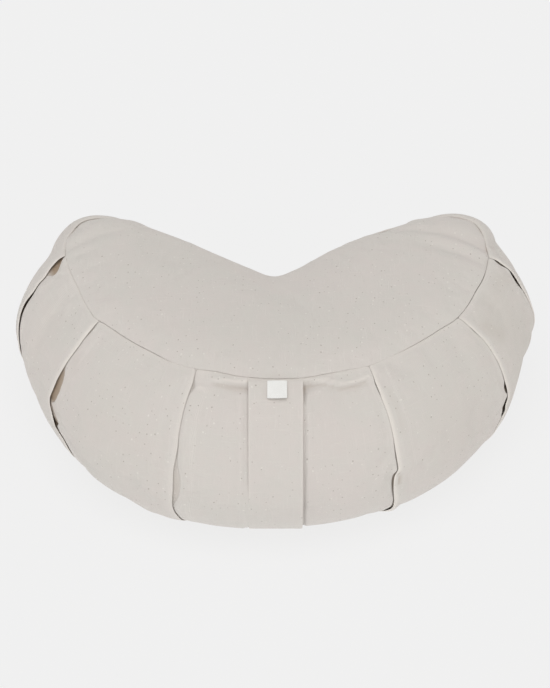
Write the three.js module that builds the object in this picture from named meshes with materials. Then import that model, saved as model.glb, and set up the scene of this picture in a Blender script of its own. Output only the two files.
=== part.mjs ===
// A crescent meditation cushion: a pleated band closed by a top and a bottom panel, firmly filled,
// with a flat carry strap down the front and a small label tab sewn into the top seam.
// Millimetres, +Z up. The strap faces -Y and the two tips point to +Y. It rests on its bottom panel.
import * as THREE from 'three';

// Seam line in plan: a wide front arc, two round tips and a shallow bay behind
const FRONT_HALF_WIDTH = 187.5;
const FRONT_DEPTH = 183.5;
const FRONT_END_ANGLE = 0.085;   // radians past the widest point, where the tip takes over
const TIP_RADIUS = 39;
const CENTRE_DEPTH = 144;        // front seam to the bottom of the bay
const BAY_RADIUS = 16;

// Heights and crown
const BOTTOM_SEAM_Z = 4;
const TOP_SEAM_Z = 158;
const CROWN = 11;
const CROWN_EDGE_POWER = 2.2;
const CROWN_SHAPE = 0.75;
const SOLE_ROLL = 0.2;           // share of the panel's half width that curves up to its seam
const SEAM_SINK = 1.6;           // how far the stitching pulls a seam in
const SEAM_SINK_REACH = 3;

// Band: how far it swells past the seams, by distance along the seam from the front centre
const SWELL_POWER = 0.72;
const SWELL_LOW = 0.83;          // below 1 puts the widest height under the middle
const SWELL = [
  { at: 0, left: 56, right: 56 }, { at: 87, left: 58, right: 54 }, { at: 163, left: 51, right: 46 },
  { at: 205, left: 44, right: 42 }, { at: 245, left: 47, right: 48 }, { at: 283, left: 47, right: 49 },
  { at: 322, left: 37, right: 37 }, { at: 368, left: 42, right: 42 }, { at: 412, left: 34, right: 35 },
  { at: 480, left: 29, right: 33 }, { at: 544, left: 10, right: 10 },
];

// Knife pleats: where each fold edge runs along the seam at its head, middle and foot, how far the
// fold stands out, and the height share at which it gapes most. Negative is left of the strap.
const PLEATS = [
  { head: 83, middle: 85, foot: 81, rise: 5.2, widest: 0.30 },
  { head: 188, middle: 204, foot: 208, rise: 4.4, widest: 0.36 },
  { head: 288, middle: 297, foot: 298, rise: 4.2, widest: 0.62 },
  { head: -67, middle: -69, foot: -69, rise: 5.4, widest: 0.26 },
  { head: -178, middle: -190, foot: -191, rise: 4.4, widest: 0.36 },
  { head: -282, middle: -286, foot: -288, rise: 4.6, widest: 0.80 },
];
// The folded cloth across one pleat: distance past the fold edge and height, as a share of the rise.
// Open is the shape down the band; sewn is the flat shape caught in the seams.
const FOLD = [
  { open: -7, up: -0.16, sewn: -6, flat: -0.03 },
  { open: 1, up: -0.22, sewn: -2.4, flat: -0.01 },
  { open: 8, up: -0.12, sewn: -1.2, flat: 0.01 },
  { open: 8.6, up: 0.08, sewn: -0.4, flat: 0.03 },
  { open: 1.4, up: 0.48, sewn: 0.4, flat: 0.05 },
  { open: -0.2, up: 0.74, sewn: 1.2, flat: 0.07 },
  { open: 1.2, up: 1, sewn: 2.4, flat: 0.09 },
  { open: 9, up: 0.94, sewn: 9, flat: 0.1 },
];
const FOLD_CLEAR = [-9, 12];     // plain columns keep out of this stretch round a fold edge
const FOLD_FADE = 46;            // distance over which the raised cloth settles again
const FOLD_SEWN_SHARE = 0.13;    // share of the height over which a fold opens from its seam
const SHIFT_REACH = 50;

// Cloth pieces
const PANEL_THICKNESS = 2;
const PIECE_GAP = 0.3;
const EDGE_INSET = 0.5;          // panel edge inside the band, more than the gap as both are many-sided
const UNDER_GAP = 0.75;          // straight up and down, so it stays near 0.3 on the crown's slopes
const STRAP_WIDTH = 46;
const STRAP_SIDEWAYS = 0.7;      // the strap and the tab sit a little right of centre
const STRAP_THICKNESS = 2.2;
const STRAP_SLACK = 2.6;         // how far its right edge stands off
const TAB_WIDTH = 21;
const TAB_LENGTH = 15.5;
const TAB_THICKNESS = 1.2;
const TAB_LIFT = 1.4;

// Divisions
const HALF_COLUMNS = 24;
const TIP_COLUMNS = 7;
const COLUMN_SPREAD = 1.2;       // above 1 packs columns towards the front centre and the bay
const BAND_ROWS = 11;
const PANEL_RINGS = [0.06, 0.2, 0.5, 1];

const colours = { band: 0xd3cfc8, top: 0xcbc6be, bottom: 0xc8c3ba, strap: 0xd0cac0, label: 0xeceae4 };

const clamp01 = (t) => Math.min(1, Math.max(0, t));
const smooth = (t) => { const c = clamp01(t); return c * c * (3 - 2 * c); };

// A smooth curve through the stations of a table, for the named side
function through(table, x, side) {
  const last = table.length - 1;
  let k = 0;
  while (k < last - 1 && x > table[k + 1].at) k += 1;
  const slope = (i) => {
    const a = table[Math.max(i - 1, 0)], b = table[Math.min(i + 1, last)];
    return i === 0 ? 0 : (b[side] - a[side]) / (b.at - a.at);
  };
  const a = table[k], b = table[k + 1], span = b.at - a.at;
  const t = clamp01((x - a.at) / span), t2 = t * t, t3 = t2 * t;
  return (2 * t3 - 3 * t2 + 1) * a[side] + (t3 - 2 * t2 + t) * span * slope(k)
    + (3 * t2 - 2 * t3) * b[side] + (t3 - t2) * span * slope(k + 1);
}

// Seam line: one half as a dense chain of points from the front centre to the bay
function traceHalfSeam() {
  const pts = [];
  const arc = (cx, cy, rx, ry, from, to, n) => {
    for (let i = pts.length ? 1 : 0; i <= n; i += 1) {
      const t = from + (to - from) * i / n;
      pts.push(new THREE.Vector2(cx + rx * Math.cos(t), cy + ry * Math.sin(t)));
    }
  };
  arc(0, FRONT_DEPTH, FRONT_HALF_WIDTH, FRONT_DEPTH, -Math.PI / 2, FRONT_END_ANGLE, 240);
  const frontEnd = pts.length - 1;
  const facing = Math.atan2(Math.sin(FRONT_END_ANGLE) / FRONT_DEPTH, Math.cos(FRONT_END_ANGLE) / FRONT_HALF_WIDTH);
  const tip = pts[frontEnd].clone().sub(new THREE.Vector2(Math.cos(facing), Math.sin(facing)).multiplyScalar(TIP_RADIUS));
  const bay = new THREE.Vector2(0, CENTRE_DEPTH + BAY_RADIUS);
  const across = bay.clone().sub(tip);
  const turn = Math.acos((TIP_RADIUS + BAY_RADIUS) / across.length());
  const leave = across.angle() - turn;   // where the straight flank leaves the tip
  arc(tip.x, tip.y, TIP_RADIUS, TIP_RADIUS, facing, leave, 80);
  const tipEnd = pts.length - 1;
  arc(bay.x, bay.y, BAY_RADIUS, BAY_RADIUS, leave - Math.PI, -Math.PI / 2, 24);
  const along = [0];
  for (let i = 1; i < pts.length; i += 1) along.push(along[i - 1] + pts[i].distanceTo(pts[i - 1]));
  return { pts, along, frontLength: along[frontEnd], tipLength: along[tipEnd], half: along[pts.length - 1] };
}
const seam = traceHalfSeam();

// Point and outward direction on the seam line at a signed distance from the front centre
function seamAt(s) {
  const side = s < 0 ? -1 : 1;
  const d = Math.min(Math.abs(s), seam.half);
  const { pts, along } = seam;
  let low = 0, high = along.length - 1;
  while (high - low > 1) {
    const mid = (low + high) >> 1;
    if (along[mid] > d) high = mid; else low = mid;
  }
  const p = pts[low].clone().lerp(pts[high], (d - along[low]) / (along[high] - along[low]));
  const before = pts[Math.max(low - 2, 0)], after = pts[Math.min(high + 2, pts.length - 1)];
  const dir = after.clone().sub(before).normalize();
  if (d < 0.01) dir.set(1, 0);
  if (d > seam.half - 0.01) dir.set(-1, 0);
  return { x: side * p.x, y: p.y, nx: side * dir.y, ny: -dir.x };
}

// Middle line of the crescent, shared by the seam points that face each other across it
function middleShare(s) {
  const d = Math.abs(s);
  if (d <= seam.frontLength) return d / seam.frontLength;
  if (d <= seam.tipLength) return 1;
  return (seam.half - d) / (seam.half - seam.tipLength);
}
function middleAt(s) {
  const side = s < 0 ? -1 : 1;
  const share = middleShare(s);
  const a = seamAt(share * seam.frontLength), b = seamAt(seam.half - share * (seam.half - seam.tipLength));
  return { x: side * (a.x + b.x) / 2, y: (a.y + b.y) / 2 };
}

// Band surface without pleats: v runs from the bottom seam (0) to the top seam (1)
function bandPoint(s, v) {
  const p = seamAt(s);
  const swell = through(SWELL, Math.abs(s), s < 0 ? 'left' : 'right');
  const out = swell * Math.sin(Math.PI * clamp01(v) ** SWELL_LOW) ** SWELL_POWER;
  const sink = SEAM_SINK * (Math.exp(-60 * (1 - v) / SEAM_SINK_REACH) - Math.exp(-60 * v / SEAM_SINK_REACH));
  const z = BOTTOM_SEAM_Z + (TOP_SEAM_Z - BOTTOM_SEAM_Z) * v - sink;
  return new THREE.Vector3(p.x + p.nx * out, p.y + p.ny * out, z);
}
function bandNormal(s, v) {
  const vLow = Math.max(v - 0.02, 0.004), vHigh = Math.min(v + 0.02, 0.996);
  const up = bandPoint(s, vHigh).sub(bandPoint(s, vLow));
  const p = seamAt(s);
  const along = new THREE.Vector3(-p.ny, p.nx, 0);
  return along.cross(up).normalize();
}

// How open a pleat is at height v
function openness(v) {
  return smooth(v / FOLD_SEWN_SHARE) * smooth((1 - v) / FOLD_SEWN_SHARE);
}
function pleatRise(pleat, v) {
  const gape = Math.exp(-(((v - pleat.widest) / 0.2) ** 2));
  return pleat.rise * (0.62 + 0.38 * gape);
}
// Sideways run of a fold edge from its head, positive away from the head's position
function pleatShift(pleat, v) {
  const { head, middle, foot } = pleat;
  const t = 1 - v;
  return (middle - head) * (4 * t * (1 - t)) + (foot - head) * t * (2 * t - 1);
}

// Columns round the band: plain ones, and the folded set at each pleat
function seamColumns() {
  const list = [];
  const shares = Array.from({ length: HALF_COLUMNS + 1 }, (_, i) => (i / HALF_COLUMNS) ** COLUMN_SPREAD);
  for (const share of shares) list.push(share * seam.frontLength);
  for (let i = 1; i < TIP_COLUMNS; i += 1) {
    list.push(seam.frontLength + (seam.tipLength - seam.frontLength) * i / TIP_COLUMNS);
  }
  for (const share of [...shares].reverse()) list.push(seam.half - share * (seam.half - seam.tipLength));
  const left = list.slice(1, -1).map((s) => -s).reverse();
  return [-seam.half, ...left, ...list.slice(0, -1)];
}
const plainColumns = seamColumns();

function bandColumns() {
  const columns = [];
  for (const s of plainColumns) {
    const inFold = PLEATS.some((pleat) => {
      const past = (s - pleat.head) * Math.sign(pleat.head);
      return past > FOLD_CLEAR[0] && past < FOLD_CLEAR[1];
    });
    if (!inFold) columns.push({ s, order: s });
  }
  for (const pleat of PLEATS) {
    const side = Math.sign(pleat.head);
    FOLD.forEach((fold) => columns.push({ s: pleat.head, fold, pleat, order: pleat.head + side * fold.sewn }));
  }
  return columns.sort((a, b) => a.order - b.order);
}

// Where a column crosses height v, with its lift off the plain band
function columnAt(column, v) {
  const open = openness(v);
  let shift = 0, lift = 0;
  for (const pleat of PLEATS) {
    const past = (column.s - pleat.head) * Math.sign(pleat.head);
    shift += pleatShift(pleat, v) * (1 - smooth(Math.abs(past) / SHIFT_REACH));
    if (column.fold || past < FOLD_CLEAR[0]) continue;
    const settle = 1 - smooth((past - 9) / FOLD_FADE);
    lift += pleatRise(pleat, v) * settle * (0.94 * open + 0.1 * (1 - open));
  }
  if (!column.fold) return { s: column.s + shift, lift };
  const { fold, pleat } = column;
  const past = fold.open * open + fold.sewn * (1 - open);
  const up = fold.up * open + fold.flat * (1 - open);
  return { s: pleat.head + pleatShift(pleat, v) + Math.sign(pleat.head) * past, lift: up * pleatRise(pleat, v) };
}

// Crown of a panel at a share of the way from the seam to the middle line
function crownZ(share) {
  const rise = (1 - (1 - share) ** CROWN_EDGE_POWER) ** CROWN_SHAPE;
  return TOP_SEAM_Z - SEAM_SINK * Math.exp(-share * 60 / SEAM_SINK_REACH) + CROWN * rise;
}
function soleZ(share) {
  return (BOTTOM_SEAM_Z + SEAM_SINK * Math.exp(-share * 60 / SEAM_SINK_REACH)) * (1 - smooth(share / SOLE_ROLL));
}

// One ring of a panel, set in from the seam by a distance and then a share of the way to the middle
function panelRing(share, inset, z) {
  const points = plainColumns.map((s) => {
    const p = seamAt(s), m = middleAt(s);
    const x = p.x - p.nx * inset, y = p.y - p.ny * inset;
    return new THREE.Vector3(x + (m.x - x) * share, y + (m.y - y) * share, z);
  });
  return { at: plainColumns, points };
}

// A closed skin over a run of rings: the first and last rings close on themselves
function skinRings(rings) {
  const positions = [], faces = [], seen = new Map();
  const indexOf = (p) => {
    const key = [p.x, p.y, p.z].map((c) => Math.round(c * 1e4)).join(' ');
    if (!seen.has(key)) {
      seen.set(key, positions.length / 3);
      positions.push(p.x, p.y, p.z);
    }
    return seen.get(key);
  };
  const face = (a, b, c) => { if (a !== b && b !== c && a !== c) faces.push(a, b, c); };
  for (let k = 0; k + 1 < rings.length; k += 1) {
    const [low, high] = [rings[k], rings[k + 1]];
    const a = low.points.map(indexOf), b = high.points.map(indexOf);
    const period = 2 * seam.half;
    const atLow = (i) => (i < a.length ? low.at[i] : low.at[0] + period);
    const atHigh = (j) => (j < b.length ? high.at[j] : high.at[0] + period);
    let i = 0, j = 0;
    while (i < a.length || j < b.length) {
      const together = Math.abs(atLow(i + 1) - atHigh(j + 1)) < 1e-6 && i < a.length && j < b.length;
      if (together) {
        face(a[i], a[(i + 1) % a.length], b[(j + 1) % b.length]);
        face(a[i], b[(j + 1) % b.length], b[j]);
        i += 1;
        j += 1;
      } else if (j >= b.length || (i < a.length && atLow(i + 1) < atHigh(j + 1))) {
        face(a[i], a[(i + 1) % a.length], b[j % b.length]);
        i += 1;
      } else {
        face(a[i % a.length], b[(j + 1) % b.length], b[j]);
        j += 1;
      }
    }
  }
  return { positions, faces };
}

function asMesh(name, { positions, faces }, colour, roughness) {
  const geometry = new THREE.BufferGeometry();
  geometry.setAttribute('position', new THREE.Float32BufferAttribute(positions, 3));
  geometry.setIndex(faces);
  geometry.computeVertexNormals();
  const material = new THREE.MeshStandardMaterial({ color: colour, roughness, metalness: 0 });
  const mesh = new THREE.Mesh(geometry, material);
  mesh.name = name;
  return mesh;
}

// Filled body: the pleated band with the filling it holds, sunk under both panels
function cushionBody() {
  const rings = [];
  const recess = PANEL_THICKNESS + UNDER_GAP;
  for (const share of [...PANEL_RINGS].reverse()) rings.push(panelRing(share, EDGE_INSET, soleZ(share) + recess));
  rings.push(panelRing(0, EDGE_INSET, soleZ(0) + recess), panelRing(0, 0, soleZ(0) + recess));
  const columns = bandColumns();
  const rows = [0, 0.015];
  for (let j = 1; j < BAND_ROWS; j += 1) rows.push((1 - Math.cos(Math.PI * j / BAND_ROWS)) / 2);
  rows.push(0.985, 1);
  for (const v of rows) {
    const placed = columns.map((column) => columnAt(column, v));
    rings.push({
      at: columns.map((column, i) => (v === 0 || v === 1 ? placed[i].s : column.order)),
      points: placed.map(({ s, lift }) => bandPoint(s, v).addScaledVector(bandNormal(s, v), lift)),
    });
  }
  rings.push(panelRing(0, 0, crownZ(0) - recess), panelRing(0, EDGE_INSET, crownZ(0) - recess));
  for (const share of PANEL_RINGS) rings.push(panelRing(share, EDGE_INSET, crownZ(share) - recess));
  return asMesh('cushion_body', skinRings(rings), colours.band, 0.95);
}

// A panel of cloth from seam to seam, its edge set just inside the band
function panel(name, height, under, colour) {
  const rings = [];
  for (const share of [...PANEL_RINGS].reverse()) rings.push(panelRing(share, EDGE_INSET, height(share) + under));
  rings.push(panelRing(0, EDGE_INSET, height(0) + under));
  rings.push(panelRing(0, EDGE_INSET, height(0) + under + PANEL_THICKNESS));
  for (const share of PANEL_RINGS) rings.push(panelRing(share, EDGE_INSET, height(share) + under + PANEL_THICKNESS));
  return asMesh(name, skinRings(rings), colour, 0.95);
}

// Centre line down the front of the band, by length from the top seam
function traceFront() {
  const line = [{ at: 0, v: 0.997 }];
  let last = bandPoint(0, 0.997);
  for (let v = 0.99; v > 0.012; v -= 0.005) {
    const p = bandPoint(0, v);
    line.push({ at: line[line.length - 1].at + p.distanceTo(last), v });
    last = p;
  }
  return line;
}
const front = traceFront();
function frontAt(length, lift) {
  let k = 0;
  while (k < front.length - 2 && front[k + 1].at < length) k += 1;
  const v = front[k].v + (front[k + 1].v - front[k].v) * (length - front[k].at) / (front[k + 1].at - front[k].at);
  return bandPoint(0, v).addScaledVector(bandNormal(0, v), lift);
}

// A flat ribbon laid down the front: across gives its side positions, lengths its steps down
function ribbon(name, across, lengths, lift, thickness, colour, roughness) {
  const positions = [], faces = [];
  const count = across.length;
  const index = (i, j, outer) => (i * count + j) * 2 + (outer ? 1 : 0);
  for (const length of lengths) {
    for (const x of across) {
      const inner = frontAt(length, lift(x, length)), outer = frontAt(length, lift(x, length) + thickness);
      positions.push(x + STRAP_SIDEWAYS, inner.y, inner.z, x + STRAP_SIDEWAYS, outer.y, outer.z);
    }
  }
  const quad = (a, b, c, d) => faces.push(a, b, c, a, c, d);
  for (let i = 0; i + 1 < lengths.length; i += 1) {
    for (let j = 0; j + 1 < count; j += 1) {
      quad(index(i, j, true), index(i + 1, j, true), index(i + 1, j + 1, true), index(i, j + 1, true));
      quad(index(i, j, false), index(i, j + 1, false), index(i + 1, j + 1, false), index(i + 1, j, false));
    }
    quad(index(i, 0, false), index(i + 1, 0, false), index(i + 1, 0, true), index(i, 0, true));
    const e = count - 1;
    quad(index(i, e, true), index(i + 1, e, true), index(i + 1, e, false), index(i, e, false));
  }
  const end = lengths.length - 1;
  for (let j = 0; j + 1 < count; j += 1) {
    quad(index(0, j, false), index(0, j, true), index(0, j + 1, true), index(0, j + 1, false));
    quad(index(end, j, true), index(end, j, false), index(end, j + 1, false), index(end, j + 1, true));
  }
  return asMesh(name, { positions, faces }, colour, roughness);
}

const steps = (from, to, count) => Array.from({ length: count + 1 }, (_, i) => from + (to - from) * i / count);

function strapLift(x, length) {
  const full = front[front.length - 1].at;
  const side = smooth(x / (STRAP_WIDTH / 2));
  const down = smooth(length / full * 3 - 0.6) * smooth((1 - length / full) * 3);
  return PIECE_GAP + 0.3 + STRAP_SLACK * side * down;
}

function build() {
  const group = new THREE.Group();
  group.name = 'crescent_cushion';
  const full = front[front.length - 1].at;
  const strapSides = steps(-STRAP_WIDTH / 2, STRAP_WIDTH / 2, 6);
  const tabSides = steps(-TAB_WIDTH / 2, TAB_WIDTH / 2, 4);
  const tabLift = (x, length) => strapLift(0, 0) + STRAP_THICKNESS + PIECE_GAP
    + TAB_LIFT * (length / TAB_LENGTH) ** 2 + 0.5 * TAB_LIFT * smooth(x / (TAB_WIDTH / 2));
  group.add(
    cushionBody(),
    panel('top_panel', crownZ, -PANEL_THICKNESS, colours.top),
    panel('bottom_panel', soleZ, 0, colours.bottom),
    ribbon('carry_strap', strapSides, steps(0.6, full, 26), strapLift, STRAP_THICKNESS, colours.strap, 0.9),
    ribbon('label_tab', tabSides, steps(0.9, TAB_LENGTH + 0.9, 8), tabLift, TAB_THICKNESS, colours.label, 0.8),
  );
  // The origin is the centre of the footprint on the resting face
  const box = new THREE.Box3().setFromObject(group);
  const centre = box.getCenter(new THREE.Vector3());
  for (const mesh of group.children) mesh.geometry.translate(-centre.x, -centre.y, -box.min.z);
  return group;
}

export default build();
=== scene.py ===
"""Crescent meditation cushion in natural cotton canvas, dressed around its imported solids.

Metres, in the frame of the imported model: +Z up, the strap faces -Y and the two tips point to +Y.
The band, the panels, the strap and the label are made here as cloth over the fixed solids.
"""

import math

import bpy
import numpy as np
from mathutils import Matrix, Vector, geometry


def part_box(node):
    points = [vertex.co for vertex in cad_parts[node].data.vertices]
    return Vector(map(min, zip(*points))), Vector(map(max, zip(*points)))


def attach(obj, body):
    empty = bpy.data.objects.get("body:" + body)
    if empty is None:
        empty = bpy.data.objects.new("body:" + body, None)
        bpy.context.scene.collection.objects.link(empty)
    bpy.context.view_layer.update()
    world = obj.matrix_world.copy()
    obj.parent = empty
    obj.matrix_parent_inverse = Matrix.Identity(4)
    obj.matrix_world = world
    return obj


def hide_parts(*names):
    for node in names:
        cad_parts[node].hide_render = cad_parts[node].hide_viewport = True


bl_info = {
    "name": "Crescent meditation cushion",
    "version": (1, 0, 0),
    "blender": (4, 5, 0),
    "location": "3D View > Sidebar > Cushion",
    "description": "Makes a pleated crescent cushion of cotton canvas around its packed solids",
    "category": "Add Mesh",
}

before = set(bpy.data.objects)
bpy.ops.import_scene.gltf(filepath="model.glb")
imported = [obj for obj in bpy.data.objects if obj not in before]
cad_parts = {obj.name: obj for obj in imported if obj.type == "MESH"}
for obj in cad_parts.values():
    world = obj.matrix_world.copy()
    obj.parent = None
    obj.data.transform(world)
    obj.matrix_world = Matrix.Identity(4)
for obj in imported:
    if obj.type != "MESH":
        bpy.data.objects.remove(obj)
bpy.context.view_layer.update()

MM = 0.001

# Seam line in plan
FRONT_HALF_WIDTH = 187.5 * MM
FRONT_DEPTH = 183.5 * MM
# How round the front is in plan
FRONT_RADIUS = 191.6 * MM
FRONT_END_ANGLE = 0.085
TIP_RADIUS = 39 * MM
CENTRE_DEPTH = 144 * MM
BAY_RADIUS = 16 * MM

# The band by distance along the seam from the front centre, all in mm and left then right: how far
# it swells past its seams, how far the top seam is drawn out or in, and how far it is lifted
BAND_AT = np.array([0, 25, 37, 52, 66, 83, 95, 104, 116, 140, 153, 167, 175, 184, 205, 230, 245, 258, 272,
                    284, 294, 306, 316, 326, 334, 345, 370, 400, 440, 480, 512, 544]) * MM
SWELL_AT = np.array([0, 87, 140, 163, 205, 245, 283, 322, 345, 368, 412, 480, 544]) * MM
SWELL_LEFT = np.array([57, 60, 56, 51, 45.2, 47.6, 49.6, 38.4, 38, 40, 35, 30, 10]) * MM
SWELL_RIGHT = np.array([56, 54, 50.5, 46.5, 45.5, 46.6, 51.8, 40, 42, 40, 38, 32, 10]) * MM
DRAWN_LEFT = np.array([0, -.8, -1.7, -3.6, -2.0, -1.6, -2.3, -3.5, -5, -5.4, -5.5, -5, -3.9, -1.4, -3.5,
                       -5.5, -4.6, -3.4, -1.7, .4, 1.5, 2, 1.2, 1.8, 4.4, 4.2, -1.2, -.6, 1.4, .4, 0,
                       0]) * MM
DRAWN_RIGHT = np.array([0, .2, -1, -2.3, -2.3, -.6, -2, -2.9, -3.8, -4.2, -3.7, -3.2, -1.3, .2, 0, -.6, 1.4,
                        2.4, 3.3, 4.4, 3.4, 3.2, 3.6, 5.4, 6.6, 5.6, 1, 2, 5, 4, 1, 0]) * MM
LIFT_LEFT = np.array([0] * 21 + [.3, .5, .8, 1, 1, .2, 0, 0, 0, 0, 0]) * MM
LIFT_RIGHT = np.array([0] * 21 + [.3, 1, 1.8, 2, 1.6, .2, .4, 2.2, 2.4, .4, 0]) * MM
# How much slimmer the lower half of the band is than its upper half
SLIM_AT = np.array([0, 60, 100, 150, 175, 205, 225, 250, 290, 330, 380, 544]) * MM
SLIM_LEFT = np.array([-.04, -.06, -.03, .03, .02, .01, .08, .14, .14, .05, 0, 0])
SLIM_RIGHT = np.array([0, .02, .02, .03, .02, .03, .13, .25, .24, .10, 0, 0])
# How much of the full stitch groove each part of the top seam shows
GROOVE_AT = np.array([0, 45, 60, 80, 110, 165, 185, 245, 262, 544]) * MM
GROOVE_LEFT = np.array([0, 0, .2, .6, 1, 1, .35, .3, .9, 1])
GROOVE_RIGHT = np.array([0, 0, .3, .5, .9, 1, 1.1, 1.3, 1.3, 1])
# The swell over the height: how square it is, how square at the shoulders of the tips, and how low
# its fullest place sits (1 is the middle)
SWELL_POWER = 0.72
SHOULDER_POWER = 0.54
SWELL_LOW = 0.83
# Where the square shoulders of the tips start and end along the seam, and over what way they blend in
TIP_FROM = 302 * MM
TIP_TO = 376 * MM
TIP_BLEND = 30 * MM

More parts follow.
